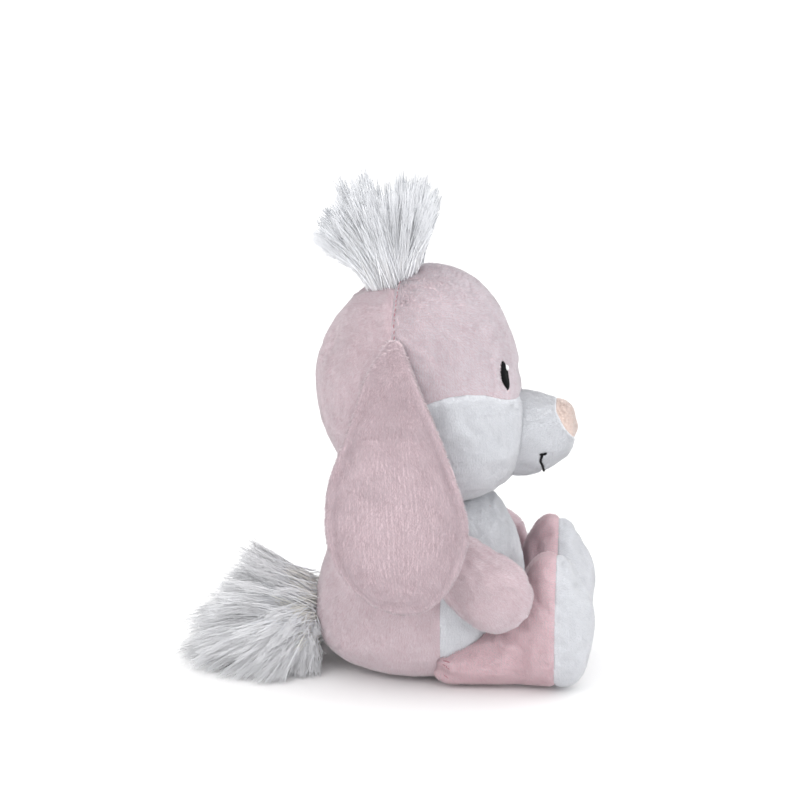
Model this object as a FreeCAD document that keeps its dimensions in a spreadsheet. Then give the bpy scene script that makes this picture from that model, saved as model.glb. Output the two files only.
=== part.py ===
import FreeCAD, Part
import math, os
from FreeCAD import Vector, Placement, Matrix

# Sitting plush rabbit. Millimetres, +Z up, the face looks along -Y, the rabbit's own left is +X.
# The origin is the middle of the flat seat underside, on the floor plane.

doc = FreeCAD.newDocument("PlushRabbit")
sheet = doc.addObject("Spreadsheet::Sheet", "Sizes")
row = [0]


def cell(alias, value):
    row[0] += 1
    where = "A%d" % row[0]
    sheet.set(where, alias)
    sheet.set("B%d" % row[0], repr(float(value)))
    sheet.setAlias("B%d" % row[0], alias)
    return alias


values = {}


def size(alias, value):
    values[alias] = float(value)
    cell(alias, value)
    return alias


# ---- driving dimensions -------------------------------------------------------------------
size("fabric", 1.2)            # plush fabric thickness, backing and pile root
size("film", 0.8)              # satin stitch and applique thickness
size("limb_gap", 2.6)          # room between a limb and the torso it hangs on
size("side_seam_head", 12.0)   # Y of the seam between the back and the front of the head
size("side_seam_torso", -12.6)  # Y of the seam between the pink back and the white belly
size("cheek_seam", 147.0)      # Z of the seam between forehead and cheeks
size("neck_y", -2.5)
size("neck_z", 88.6)
size("neck_ball", 13.5)
size("neck_socket", 13.9)
size("arm_pitch", 29.5)        # degrees the right arm points down
size("left_arm_pitch", 43.0)   # the left arm hangs lower
size("shoulder_y", -5.0)
size("shoulder_z", 75.0)
size("sole_seam", -68.0)       # Y of the seam between the pink leg and the white sole
size("hip_y", -13.0)
size("hip_z", 12.0)
size("leg_mid", 30.0)          # distance of the leg's own middle from the centre plane
size("tail_y", 60.0)
size("tail_z", 24.0)
size("tail_knob", 6.0)
size("seat_long", 30.0)
size("seat_wide", 26.0)
size("nose_half", 15.8)
size("nose_top", 139.6)
size("nose_tip", 120.6)
size("eye_x", 22.3)
size("eye_z", 155.0)
size("eye_tall", 7.6)
size("eye_wide", 3.8)


def table(key, names, rows):
    """one spreadsheet cell for every number of every cross-section; returns lists of aliases"""
    out = []
    for i, r in enumerate(rows):
        out.append([size("%s_%02d_%s" % (key, i, n), v) for n, v in zip(names, r)])
    return out


# horizontal ellipses: height, middle in Y, half length along Y, half width along X
HEAD = table("head", ("level", "mid", "deep", "wide"), [
    (89.3, -2.5, 14.5, 14.0), (90.0, -2.6, 24.0, 23.5), (91.6, -3.4, 30.4, 29.2), (95.0, -4.4, 35.9, 33.6),
    (103.0, -5.0, 42.6, 39.6), (112.0, -4.8, 47.0, 43.6), (125.0, -2.8, 51.0, 47.0), (138.0, -0.8, 51.6, 47.9),
    (150.0, 0.9, 50.6, 47.9), (162.0, 1.1, 48.2, 46.3), (173.0, 0.7, 43.8, 43.0), (182.0, 0.0, 38.5, 38.2),
    (190.0, -0.4, 32.1, 31.8), (196.0, -1.9, 24.6, 24.4), (200.0, -3.4, 16.2, 15.9), (202.6, -4.5, 7.1, 7.0)])
TORSO = table("torso", ("level", "mid", "deep", "wide"), [
    (1.2, 0.5, 30.0, 26.0), (4.0, 1.0, 38.2, 33.4), (9.0, 1.2, 45.0, 38.8), (16.0, 1.2, 49.8, 42.4),
    (28.0, 0.7, 52.6, 45.2), (42.0, -0.7, 52.3, 45.2), (57.0, -2.0, 49.7, 42.8), (68.0, -2.8, 45.8, 39.6),
    (76.0, -2.8, 41.9, 36.4), (82.0, -2.6, 36.9, 32.6), (85.0, -2.6, 31.3, 28.2), (86.4, -2.6, 25.0, 22.8),
    (87.3, -2.5, 13.6, 12.6)])
# ear, horizontal ellipses: height, distance from the centre plane, middle in Y, half length, half thickness
EAR = table("ear", ("level", "out", "mid", "deep", "thick"), [
    (176.6, 43.0, 9.2, 4.6, 1.9), (174.0, 45.3, 9.4, 6.2, 2.5), (169.9, 48.6, 9.8, 7.8, 3.2), (164.4, 52.4, 10.0, 10.6, 3.9),
    (158.3, 54.8, 10.1, 13.6, 4.4), (148.6, 57.8, 9.1, 17.3, 4.7), (139.9, 59.4, 8.6, 20.9, 4.8),
    (130.6, 60.8, 8.3, 24.6, 4.8), (118.0, 62.4, 8.0, 29.2, 4.8), (105.8, 63.8, 7.3, 32.5, 4.8),
    (95.5, 65.0, 6.5, 33.8, 4.7), (86.0, 65.9, 6.0, 33.8, 4.6), (77.0, 66.6, 5.9, 32.0, 4.5), (70.0, 67.2, 5.4, 29.0, 4.3),
    (63.0, 67.6, 4.8, 24.6, 4.0), (57.0, 68.0, 4.0, 18.8, 3.5), (53.0, 68.2, 2.9, 13.0, 2.8), (50.6, 68.3, 2.2, 7.0, 1.9)])
# arm, ellipses square to its own line: distance from the shoulder, distance from the centre plane, half height, half thickness
ARM = table("arm", ("along", "out", "tall", "thick"), [
    (-12.0, 42.4, 5.0, 3.0), (-10.4, 42.4, 9.6, 5.2), (-6.0, 42.6, 14.0, 7.4), (1.0, 43.0, 16.6, 8.6),
    (12.0, 44.9, 17.4, 9.1), (24.0, 47.6, 18.4, 9.4), (35.0, 50.8, 19.5, 9.5), (43.0, 53.0, 19.2, 9.2),
    (50.0, 54.3, 16.6, 8.2), (55.0, 54.9, 12.0, 6.2), (57.8, 55.1, 7.2, 4.0), (59.0, 55.2, 3.2, 1.9)])
# leg, upright ellipses square to Y: place in Y, height of the middle, half height, half width
LEG = table("leg", ("place", "mid", "tall", "wide"), [
    (-8.0, 10.2, 4.0, 3.8), (-9.6, 10.8, 7.8, 7.4), (-14.0, 12.2, 11.4, 11.0), (-22.0, 13.5, 12.9, 12.4),
    (-34.0, 15.4, 14.8, 13.0), (-44.0, 20.4, 19.6, 13.6), (-51.0, 28.2, 27.2, 14.6), (-57.0, 33.3, 32.4, 16.8),
    (-63.0, 35.4, 34.7, 19.2), (-68.0, 35.3, 34.7, 20.4), (-72.0, 34.6, 33.8, 20.2), (-76.0, 33.0, 31.4, 19.2),
    (-80.0, 31.0, 26.9, 17.0), (-83.6, 30.8, 19.8, 13.4), (-85.8, 32.6, 12.2, 8.4), (-86.8, 34.6, 5.4, 3.8)])
# muzzle, upright ellipses square to Y: place in Y, height of the middle, half width, half height
MUZZLE = table("muzzle", ("place", "mid", "wide", "tall"), [
    (-36.0, 121.4, 22.8, 21.6), (-48.0, 121.2, 23.2, 21.9), (-55.0, 121.2, 22.9, 21.0), (-62.0, 121.6, 21.6, 18.8),
    (-68.0, 122.6, 19.2, 16.0), (-72.0, 123.3, 16.2, 13.7), (-74.8, 124.0, 11.6, 9.8), (-76.2, 124.6, 5.2, 4.4)])
doc.recompute()
S = "Sizes."

FLAT = (Vector(0, 1, 0), Vector(-1, 0, 0), Vector(0, 0, 1))      # long axis of the ellipse along Y
UPRIGHT = (Vector(0, 0, 1), Vector(-1, 0, 0), Vector(0, -1, 0))  # long axis along Z, square to Y
ACROSS = (Vector(1, 0, 0), Vector(0, 0, 1), Vector(0, -1, 0))    # long axis along X, square to Y


def armwise(name):
    """the arm's own frame, pointing down by that many degrees"""
    a = math.radians(values[name])
    return (Vector(0, -math.sin(a), math.cos(a)), Vector(-1, 0, 0), Vector(0, -math.cos(a), -math.sin(a)))


def frame_placement(frame, base):
    a, b, c = frame
    m = Matrix(a.x, b.x, c.x, base[0], a.y, b.y, c.y, base[1], a.z, b.z, c.z, base[2], 0, 0, 0, 1)
    return Placement(m)


def ellipse(name, frame, base, major, minor):
    e = doc.addObject("Part::Ellipse", name)
    e.Placement = frame_placement(frame, (0, 0, 0))
    e.setExpression("MinorRadius", minor)
    e.setExpression("MajorRadius", major)
    for axis, text in zip("xyz", base):
        e.setExpression("Placement.Base." + axis, text)
    return e


def loft(name, sections):
    body = doc.addObject("Part::Loft", name)
    body.Sections = sections
    body.Solid = True
    body.Ruled = False
    body.MaxDegree = 4
    for s in sections:
        s.Visibility = False
    return body


def stack(key, rows, kind, grow="0", ends="0", pitch="arm_pitch"):
    """a lofted solid through the table's sections; grow widens every section, ends moves its two ends out"""
    out = []
    n = len(rows)
    lo, hi = rows[0][0], rows[-1][0]
    for i, r in enumerate(rows):
        if kind == "flat":
            z = "%s + (%s - (%s + %s)/2)*2*(%s)/(%s - %s)" % (S + r[0], S + r[0], S + lo, S + hi, ends, S + hi, S + lo)
            e = ellipse("%s_ring_%02d" % (key, i), FLAT, ("0", S + r[1], z), "%s + (%s)" % (S + r[2], grow), "%s + (%s)" % (S + r[3], grow))
        elif kind == "ear":
            z = "%s + (%s - (%s + %s)/2)*2*(%s)/abs(%s - %s)" % (S + r[0], S + r[0], S + lo, S + hi, ends, S + hi, S + lo)
            e = ellipse("%s_ring_%02d" % (key, i), FLAT, ("-" + S + r[1], S + r[2], z), "%s + (%s)" % (S + r[3], grow), "%s + (%s)" % (S + r[4], grow))
        elif kind == "arm":
            t = "(%s + (%s - (%s + %s)/2)*2*(%s)/(%s - %s))" % (S + r[0], S + r[0], S + lo, S + hi, ends, S + hi, S + lo)
            base = ("-" + S + r[1], "Sizes.shoulder_y - %s*cos(Sizes.%s * 1 deg)" % (t, pitch), "Sizes.shoulder_z - %s*sin(Sizes.%s * 1 deg)" % (t, pitch))
            e = ellipse("%s_ring_%02d" % (key, i), armwise(pitch), base, "%s + (%s)" % (S + r[2], grow), "%s + (%s)" % (S + r[3], grow))
        elif kind == "leg":
            y = "%s + (%s - (%s + %s)/2)*2*(%s)/abs(%s - %s)" % (S + r[0], S + r[0], S + lo, S + hi, ends, S + hi, S + lo)
            e = ellipse("%s_ring_%02d" % (key, i), UPRIGHT, ("-Sizes.leg_mid", y, S + r[1]), "%s + (%s)" % (S + r[2], grow), "%s + (%s)" % (S + r[3], grow))
        else:
            y = "%s + (%s - (%s + %s)/2)*2*(%s)/abs(%s - %s)" % (S + r[0], S + r[0], S + lo, S + hi, ends, S + hi, S + lo)
            e = ellipse("%s_ring_%02d" % (key, i), ACROSS, ("0", y, S + r[1]), "%s + (%s)" % (S + r[2], grow), "%s + (%s)" % (S + r[3], grow))
        out.append(e)
    return loft(key, out)


def cut(name, base, tool):
    o = doc.addObject("Part::Cut", name)
    o.Base, o.Tool = base, tool
    return o


def common(name, *shapes):
    o = doc.addObject("Part::MultiCommon", name)
    o.Shapes = list(shapes)
    return o


def fuse(name, *shapes):
    o = doc.addObject("Part::MultiFuse", name)
    o.Shapes = list(shapes)
    return o


def box(name, x0, x1, y0, y1, z0, z1, bind=()):
    b = doc.addObject("Part::Box", name)
    b.Length, b.Width, b.Height = x1 - x0, y1 - y0, z1 - z0
    b.Placement = Placement(Vector(x0, y0, z0), FreeCAD.Rotation())
    for prop, text in bind:
        b.setExpression(prop, text)
    return b


def mirrored(name, source):
    o = doc.addObject("Part::Mirroring", name)
    o.Source = source
    o.Normal = Vector(1, 0, 0)
    o.Base = Vector(0, 0, 0)
    return o


def prism(name, points, axis, lo, hi):
    """a straight prism over a polygon; axis x: points are (Y, Z); axis y: points are (X, Z); axis z: points are (X, Y)"""
    if axis == "x":
        v = [Vector(lo, p, q) for p, q in points]
        d = Vector(hi - lo, 0, 0)
    elif axis == "y":
        v = [Vector(p, lo, q) for p, q in points]
        d = Vector(0, hi - lo, 0)
    else:
        v = [Vector(p, q, lo) for p, q in points]
        d = Vector(0, 0, hi - lo)
    f = doc.addObject("Part::Feature", name)
    f.Shape = Part.Face(Part.makePolygon(v + [v[0]])).extrude(d)
    f.Placement = Placement()
    return f


BIG = 300.0
# ---- neck ball: wadding between head and torso, the two dishes turn on it ------------------
neck_core = doc.addObject("Part::Sphere", "neck_core")
neck_core.setExpression("Radius", "Sizes.neck_ball")
neck_core.setExpression("Placement.Base.y", "Sizes.neck_y")
neck_core.setExpression("Placement.Base.z", "Sizes.neck_z")
dish = doc.addObject("Part::Sphere", "neck_dish")
dish.setExpression("Radius", "Sizes.neck_socket")
dish.setExpression("Placement.Base.y", "Sizes.neck_y")
dish.setExpression("Placement.Base.z", "Sizes.neck_z")

# ---- torso --------------------------------------------------------------------------------
torso_outer = stack("torso_outer", TORSO, "flat")
torso_inner = stack("torso_inner", TORSO, "flat", "-Sizes.fabric", "-Sizes.fabric")
torso_inner_low = box("torso_open", -BIG, BIG, -BIG, BIG, 0, 6)
# the core reaches down to the seat panel so that the skin is open below
torso_core = stack("torso_core", TORSO, "flat", "-Sizes.fabric", "-0.02")
torso_top_trim = box("torso_top_trim", -BIG, BIG, -BIG, BIG, 86.1, 200, (("Placement.Base.z", "Sizes.torso_12_level - Sizes.fabric"),))
torso_core_low = cut("torso_core_low", torso_core, torso_top_trim)
torso_skin = cut("torso_skin", torso_outer, torso_core_low)
torso_skin_open = cut("torso_skin_open", torso_skin, dish)
front_half = box("front_of_torso", -BIG, BIG, -BIG, -12.6, -50, 250, (("Placement.Base.y", "Sizes.side_seam_torso - 300"), ("Width", "300")))
torso_back = cut("torso_back", torso_skin_open, front_half)
belly_panel = common("belly_panel", torso_skin_open, front_half)
torso_stuffing = cut("torso_stuffing", torso_core_low, dish)

# oval seat panel under the torso, the flat face that the rabbit sits on
seat_body = doc.addObject("PartDesign::Body", "seat_panel")
seat_sketch = seat_body.newObject("Sketcher::SketchObject", "seat_outline")
plane = [f for f in seat_body.Origin.OriginFeatures if f.Role == "XY_Plane"][0]
seat_sketch.AttachmentSupport = [(plane, "")]
seat_sketch.MapMode = "FlatFace"
import Sketcher
seat_sketch.addGeometry(Part.Ellipse(Vector(0, 31, 0), Vector(29, 0, 0), Vector(0, 0, 0)), False)
seat_sketch.exposeInternalGeometry(0)
doc.recompute()
lines = [i for i, g in enumerate(seat_sketch.Geometry) if g.TypeId == "Part::GeomLineSegment"]
seat_sketch.addConstraint(Sketcher.Constraint("Coincident", 0, 3, -1, 1))
lengths = sorted((-(seat_sketch.Geometry[i].length()), i) for i in lines)
long_id, wide_id = lengths[0][1], lengths[1][1]
seat_sketch.addConstraint(Sketcher.Constraint("Vertical", long_id))
c_long = seat_sketch.addConstraint(Sketcher.Constraint("Distance", long_id, 62.0))
c_wide = seat_sketch.addConstraint(Sketcher.Constraint("Distance", wide_id, 58.0))
seat_sketch.setExpression("Constraints[%d]" % c_long, "Sizes.seat_long*2")
seat_sketch.setExpression("Constraints[%d]" % c_wide, "Sizes.seat_wide*2")
seat_pad = seat_body.newObject("PartDesign::Pad", "seat_pad")
seat_pad.Profile = seat_sketch
seat_pad.setExpression("Length", "Sizes.fabric")
seat_body.setExpression("Placement.Base.y", "Sizes.torso_00_mid")

# ladder stitch round the torso just under the neck: a thread lying on the fabric
torso_film_outer = stack("torso_film_outer", TORSO, "flat", "Sizes.film", "Sizes.film")
torso_film = cut("torso_film", torso_film_outer, torso_outer)
stitch_slab = box("stitch_slab", -BIG, BIG, -BIG, BIG, 80.4, 81.6)
neck_seam = common("neck_seam", torso_film, stitch_slab)

# room kept free of limbs round the torso
torso_room = stack("torso_room", TORSO, "flat", "Sizes.limb_gap", "Sizes.limb_gap")
torso_room_core = stack("torso_room_core", TORSO, "flat", "Sizes.limb_gap + Sizes.fabric", "Sizes.limb_gap + Sizes.fabric")

torso_near = stack("torso_near", TORSO, "flat", "0.7", "0.7")


def swept_room(name, still, near, pivot, angles):
    """the torso's own room, and the room that it needs as the limb is raised through the given angles"""
    copies = [still]
    for k, a in enumerate(angles):
        c = doc.addObject("Part::Compound", "%s_%d" % (name, k))
        c.Links = [near]
        c.Placement = Placement(Vector(0, 0, 0), FreeCAD.Rotation(Vector(1, 0, 0), a), Vector(*pivot))
        copies.append(c)
    return fuse(name, *copies)


# ---- head ---------------------------------------------------------------------------------
head_outer = stack("head_outer", HEAD, "flat")
head_core = stack("head_core", HEAD, "flat", "-Sizes.fabric", "-Sizes.fabric")
head_skin = cut("head_skin", cut("head_skin_whole", head_outer, head_core), dish)
head_stuffing = cut("head_stuffing", head_core, dish)
behind = box("behind_side_seam", -BIG, BIG, 12, 300, 50, 250, (("Placement.Base.y", "Sizes.side_seam_head"),))
above = box("above_cheek_seam", -BIG, BIG, -BIG, 300, 147, 250, (("Placement.Base.z", "Sizes.cheek_seam"),))
right_half = box("right_half", -BIG, 0, -BIG, BIG, -50, 260)

# muzzle, sewn on the face
muzzle_outer = stack("muzzle_outer", MUZZLE, "across")
muzzle_core = stack("muzzle_core", MUZZLE, "across", "-Sizes.fabric", "-Sizes.fabric")
muzzle_skin_whole = cut("muzzle_skin_whole", muzzle_outer, muzzle_core)
muzzle = cut("muzzle", muzzle_skin_whole, head_outer)
muzzle_stuffing = cut("muzzle_stuffing", muzzle_core, head_outer)

head_back = common("head_back", head_skin, behind)
head_front = cut("head_front_skin", head_skin, behind)
forehead = common("forehead", head_front, above)
cheeks = cut("cheeks", head_front, above)
cheek_right = common("cheek_right", cheeks, right_half)
cheek_left = cut("cheek_left", cheeks, right_half)

# peach nose patch on the muzzle
muzzle_film_outer = stack("muzzle_film_outer", MUZZLE, "across", "Sizes.film", "Sizes.film")
muzzle_film = cut("muzzle_film", cut("muzzle_film_whole", muzzle_film_outer, muzzle_outer), head_outer)
nh, nt, nl = values["nose_half"], values["nose_top"], values["nose_tip"]
nose_half_outline = [(4.0, nt), (9.0, nt - 1.5), (nh - 2.6, nt - 4.1), (nh - 0.2, nt - 7.6), (nh, nt - 11.3), (nh - 2.2, nt - 14.8), (8.0, nl + 1.0)]
nose_prism = prism("nose_outline", nose_half_outline + [(0, nl)] + [(-x, z) for x, z in nose_half_outline[::-1]], "y", -90, -58)
nose_patch = common("nose_patch", muzzle_film, nose_prism)

# embroidered mouth: a wide smile under the muzzle with a short bar at each end
smile = [(-20.6, 115.9), (-19.7, 112.2), (-17.0, 109.2), (-13.6, 107.2), (-7.8, 105.5), (0.0, 105.0), (7.8, 105.5), (13.6, 107.2), (17.0, 109.2), (19.7, 112.2), (20.6, 115.9)]
left_side, right_side = [], []
for i, (x, z) in enumerate(smile):
    a, b = smile[max(0, i - 1)], smile[min(len(smile) - 1, i + 1)]
    dx, dz = b[0] - a[0], b[1] - a[1]
    n = math.hypot(dx, dz)
    left_side.append((x - dz / n * 0.8, z + dx / n * 0.8))
    right_side.append((x + dz / n * 0.8, z - dx / n * 0.8))
smile_prism = prism("smile_band", left_side + right_side[::-1], "y", -90, -50)
cap_slab = fuse("smile_bars", box("bar_right", -30, -15, -62.8, -59.2, 115.4, 117.0), box("bar_left", 15, 30, -62.8, -59.2, 115.4, 117.0))
mouth_stitch = common("mouth_stitch", muzzle_film, fuse("mouth_outline", smile_prism, cap_slab))

# satin stitched eyes and their highlights, lying on the face
head_film_outer = stack("head_film_outer", HEAD, "flat", "Sizes.film", "Sizes.film")
head_film = cut("head_film", head_film_outer, head_outer)


def eye_column(name, dx, dz, tall, wide):
    ends = []
    for k, y in enumerate(("-70", "-20")):
        ends.append(ellipse("%s_end_%d" % (name, k), UPRIGHT, ("-Sizes.eye_x + %s" % dx, y, "Sizes.eye_z + %s" % dz), tall, wide))
    return loft(name, ends[::-1])


eye_shape = eye_column("eye_column", "0", "0", "Sizes.eye_tall", "Sizes.eye_wide")
glint_shape = eye_column("glint_column", "-1.0", "3.6", "1.9", "1.2")
eye_disc = common("eye_disc", head_film, eye_shape)
eye_right = cut("eye_right", eye_disc, glint_shape)
eye_glint_right = common("eye_glint_right", eye_disc, glint_shape)
eye_left = mirrored("eye_left", eye_right)
eye_glint_left = mirrored("eye_glint_left", eye_glint_right)

# tuft of long pile on the crown, on a knit backing that is caught in the side seam
tuft_ends = [ellipse("tuft_foot_%d" % k, ACROSS[:0] + (Vector(1, 0, 0), Vector(0, 1, 0), Vector(0, 0, 1)), ("0", "Sizes.side_seam_head + 1.0", str(z)), "14.0", "9.0") for k, z in enumerate((180, 215))]
tuft_column = loft("tuft_column", tuft_ends)
tuft_backing = common("tuft_backing", head_film, tuft_column)
tuft_side = prism("tuft_side_view", [(20.5, 190), (25, 201), (33, 208), (50, 219), (39, 223.5), (47.9, 231), (36, 235), (34.3, 248.3), (25, 237), (16, 243), (14, 231), (5, 242), (-1.7, 248.8), (-2.2, 238), (-7.4, 240), (-3.8, 226), (-4.4, 216), (3, 203), (6, 190)], "x", -60, 60)
tuft_front = prism("tuft_front_view", [(-12, 190), (-15, 203), (-27, 218), (-19, 223), (-24, 238), (-13, 233), (-11, 249), (-4, 237), (1, 250), (6, 238), (13, 249), (14, 235), (24, 239), (19, 224), (28, 216), (15, 203), (12, 190)], "y", -60, 90)
tuft_whole = common("tuft_whole", tuft_side, tuft_front)
tuft_fur = cut("tuft_fur", tuft_whole, head_film_outer)

# ---- ears ---------------------------------------------------------------------------------
ear_whole = stack("ear_whole", EAR, "ear")
ear_core = stack("ear_core", EAR, "ear", "-Sizes.fabric", "-Sizes.fabric")
ear_mid = [(-values[r[1]], values[r[0]]) for r in EAR]
ear_split = prism("ear_inner_side", [(ear_mid[0][0], 185)] + ear_mid + [(ear_mid[-1][0], 40), (-20, 40), (-20, 185)], "y", -60, 80)
ear_shell = cut("ear_shell", ear_whole, ear_core)
ear_right_lining = common("ear_right_lining", ear_shell, ear_split)
ear_right_outer = cut("ear_right_outer", ear_shell, ear_split)
ear_right_wadding = ear_core

# ---- arms: both are made on the right side, each with its own pitch, and the left one is mirrored -------
arm_parts = {}
for side, pitch in (("right", "arm_pitch"), ("left", "left_arm_pitch")):
    arm_whole = stack("arm_%s_whole" % side, ARM, "arm", pitch=pitch)
    arm_core = stack("arm_%s_core" % side, ARM, "arm", "-Sizes.fabric", "-Sizes.fabric", pitch)
    arm_clear = cut("arm_%s_clear" % side, arm_whole, torso_room)
    arm_stuffing = cut("arm_%s_filling" % side, arm_core, torso_room_core)
    arm_shell = cut("arm_%s_shell" % side, arm_clear, arm_stuffing)
    # the seam runs along the middle of the arm
    arm_mid = []
    for r in ARM:
        t = values[r[0]]
        arm_mid.append((-values[r[1]], values["shoulder_y"] - t * math.cos(math.radians(values[pitch]))))
    arm_split = prism("arm_%s_inner_side" % side, [(arm_mid[0][0], 60)] + arm_mid + [(arm_mid[-1][0], -110), (-5, -110), (-5, 60)], "z", 0, 140)
    arm_parts[side] = (("outer", cut("arm_%s_outer_half" % side, arm_shell, arm_split)), ("inner", common("arm_%s_inner_half" % side, arm_shell, arm_split)), ("stuffing", arm_stuffing))

# ---- legs ---------------------------------------------------------------------------------
leg_whole = stack("leg_whole", LEG, "leg")
leg_core = stack("leg_core", LEG, "leg", "-Sizes.fabric", "-Sizes.fabric")
leg_room = swept_room("leg_room", torso_room, torso_near, (-values["leg_mid"], values["hip_y"], values["hip_z"]), (4, 8))
leg_clear = cut("leg_clear", leg_whole, leg_room)
leg_room_core = swept_room("leg_room_core", torso_room_core, torso_room, (-values["leg_mid"], values["hip_y"], values["hip_z"]), (4, 8))
leg_right_stuffing = cut("leg_right_stuffing", leg_core, leg_room_core)
leg_shell = cut("leg_shell", leg_clear, leg_right_stuffing)
toe = box("toe_half", -BIG, BIG, -200, -68, -20, 120, (("Placement.Base.y", "Sizes.sole_seam - 132"), ("Width", "132")))
leg_tube = cut("leg_tube", leg_shell, toe)
leg_right_sole = common("leg_right_sole", leg_shell, toe)
leg_inside = box("leg_inside", -30, 100, -200, 50, -20, 120, (("Placement.Base.x", "-Sizes.leg_mid"),))
leg_right_inner = common("leg_right_inner", leg_tube, leg_inside)
leg_right_outer = cut("leg_right_outer", leg_tube, leg_inside)

# ---- tail ---------------------------------------------------------------------------------
tail_root = doc.addObject("Part::Sphere", "tail_root")
tail_root.setExpression("Radius", "Sizes.tail_knob")
tail_root.setExpression("Placement.Base.y", "Sizes.tail_y")
tail_root.setExpression("Placement.Base.z", "Sizes.tail_z")
tail_side = prism("tail_side_view", [(60, 31), (66, 39), (76, 47), (88.4, 57.3), (86, 47), (99, 40), (95, 32), (109.5, 24), (104, 18), (118.7, 5.5), (108, 5), (112, 0.8), (97, 1.8), (87, 0.8), (77, 2.6), (66, 1.6), (62, 8), (60, 17)], "x", -60, 60)
tail_top = prism("tail_top_view", [(-9, 60), (-18, 64), (-31, 73), (-25, 77), (-40, 92), (-28, 91), (-33, 106), (-20, 100), (-18, 114), (-8, 106), (0, 119), (7, 107), (17, 115), (19, 101), (32, 107), (27, 92), (39, 93), (25, 77), (32, 72), (18, 64), (9, 60)], "z", -5, 80)
tail_fur = cut("tail_fur", common("tail_whole", tail_side, tail_top), tail_root)

doc.recompute()

# ---- every sub-part: node name and the object that makes it ---------------------------------
nodes = [("torso_back", torso_back), ("belly_panel", belly_panel), ("seat_panel", seat_body), ("torso_stuffing", torso_stuffing),
         ("neck_seam", neck_seam), ("neck_core", neck_core), ("head_back", head_back), ("forehead", forehead),
         ("cheek_right", cheek_right), ("cheek_left", cheek_left), ("head_stuffing", head_stuffing), ("muzzle", muzzle),
         ("muzzle_stuffing", muzzle_stuffing), ("nose_patch", nose_patch), ("mouth_stitch", mouth_stitch),
         ("eye_right", eye_right), ("eye_glint_right", eye_glint_right), ("eye_left", eye_left), ("eye_glint_left", eye_glint_left),
         ("tuft_backing", tuft_backing), ("tuft_fur", tuft_fur), ("tail_root", tail_root), ("tail_fur", tail_fur)]
for key, parts in (("ear", (("outer", ear_right_outer), ("lining", ear_right_lining), ("wadding", ear_right_wadding))),
                   ("leg", (("outer", leg_right_outer), ("inner", leg_right_inner), ("sole", leg_right_sole), ("stuffing", leg_right_stuffing)))):
    for part, source in parts:
        nodes.append(("%s_right_%s" % (key, part), source))
        nodes.append(("%s_left_%s" % (key, part), mirrored("%s_left_%s" % (key, part), source)))
for part, source in arm_parts["right"]:
    nodes.append(("arm_right_%s" % part, source))
for part, source in arm_parts["left"]:
    nodes.append(("arm_left_%s" % part, mirrored("arm_left_%s" % part, source)))
for name, obj in nodes:
    obj.Label = name
doc.recompute()

bad = [o.Name for o in doc.Objects if any(s in ("Invalid", "Error") for s in o.State)]
for name, obj in nodes:
    shape = obj.Shape
    if shape.isNull() or not shape.isValid() or shape.Volume <= 0 or not shape.Solids:
        bad.append(name)
if bad:
    raise SystemExit("failed: " + ", ".join(bad))

os.makedirs("parts", exist_ok=True)
for name, obj in nodes:
    obj.Shape.exportStep("parts/%s.step" % name)
    b = obj.Shape.BoundBox
    print("%-20s solids %d  volume %9.1f  x %7.1f %7.1f  y %7.1f %7.1f  z %7.1f %7.1f" % (name, len(obj.Shape.Solids), obj.Shape.Volume, b.XMin, b.XMax, b.YMin, b.YMax, b.ZMin, b.ZMax))
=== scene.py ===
import math

import bmesh
import bpy
import numpy as np
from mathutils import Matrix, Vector
from mathutils.bvhtree import BVHTree


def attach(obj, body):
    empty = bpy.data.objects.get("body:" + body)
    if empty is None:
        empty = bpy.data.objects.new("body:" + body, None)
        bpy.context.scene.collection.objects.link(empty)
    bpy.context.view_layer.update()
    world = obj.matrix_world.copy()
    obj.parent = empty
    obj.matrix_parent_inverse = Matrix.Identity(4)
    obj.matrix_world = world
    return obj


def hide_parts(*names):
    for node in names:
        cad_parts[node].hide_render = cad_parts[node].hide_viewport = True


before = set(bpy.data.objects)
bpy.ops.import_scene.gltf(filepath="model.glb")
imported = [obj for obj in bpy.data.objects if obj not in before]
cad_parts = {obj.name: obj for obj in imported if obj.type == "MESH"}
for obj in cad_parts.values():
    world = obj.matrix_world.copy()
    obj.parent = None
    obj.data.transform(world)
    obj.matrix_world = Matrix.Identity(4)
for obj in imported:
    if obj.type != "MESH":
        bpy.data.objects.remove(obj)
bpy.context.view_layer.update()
S = 0.001  # the tables below are in millimetres
FINE = 1.0

# ------------------------------------------------------------------------------------------
# cross-sections of the stuffed pieces, as in the CAD
# ------------------------------------------------------------------------------------------
HEAD = [(89.3, -2.5, 14.5, 14.0), (90.0, -2.6, 24.0, 23.5), (91.6, -3.4, 30.4, 29.2), (95.0, -4.4, 35.9, 33.6),
        (103.0, -5.0, 42.6, 39.6), (112.0, -4.8, 47.0, 43.6), (125.0, -2.8, 51.0, 47.0), (138.0, -0.8, 51.6, 47.9),
        (150.0, 0.9, 50.6, 47.9), (162.0, 1.1, 48.2, 46.3), (173.0, 0.7, 43.8, 43.0), (182.0, 0.0, 38.5, 38.2),
        (190.0, -0.4, 32.1, 31.8), (196.0, -1.9, 24.6, 24.4), (200.0, -3.4, 16.2, 15.9), (202.6, -4.5, 7.1, 7.0)]
TORSO = [(1.2, 0.5, 30.0, 26.0), (4.0, 1.0, 38.2, 33.4), (9.0, 1.2, 45.0, 38.8), (16.0, 1.2, 49.8, 42.4),
         (28.0, 0.7, 52.6, 45.2), (42.0, -0.7, 52.3, 45.2), (57.0, -2.0, 49.7, 42.8), (68.0, -2.8, 46.2, 40.0),
         (77.0, -2.8, 42.6, 37.4), (84.0, -2.7, 38.8, 34.6), (89.0, -2.7, 34.6, 31.2), (93.0, -2.6, 28.0, 25.5),
         (95.0, -2.5, 16.0, 14.6)]
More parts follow.
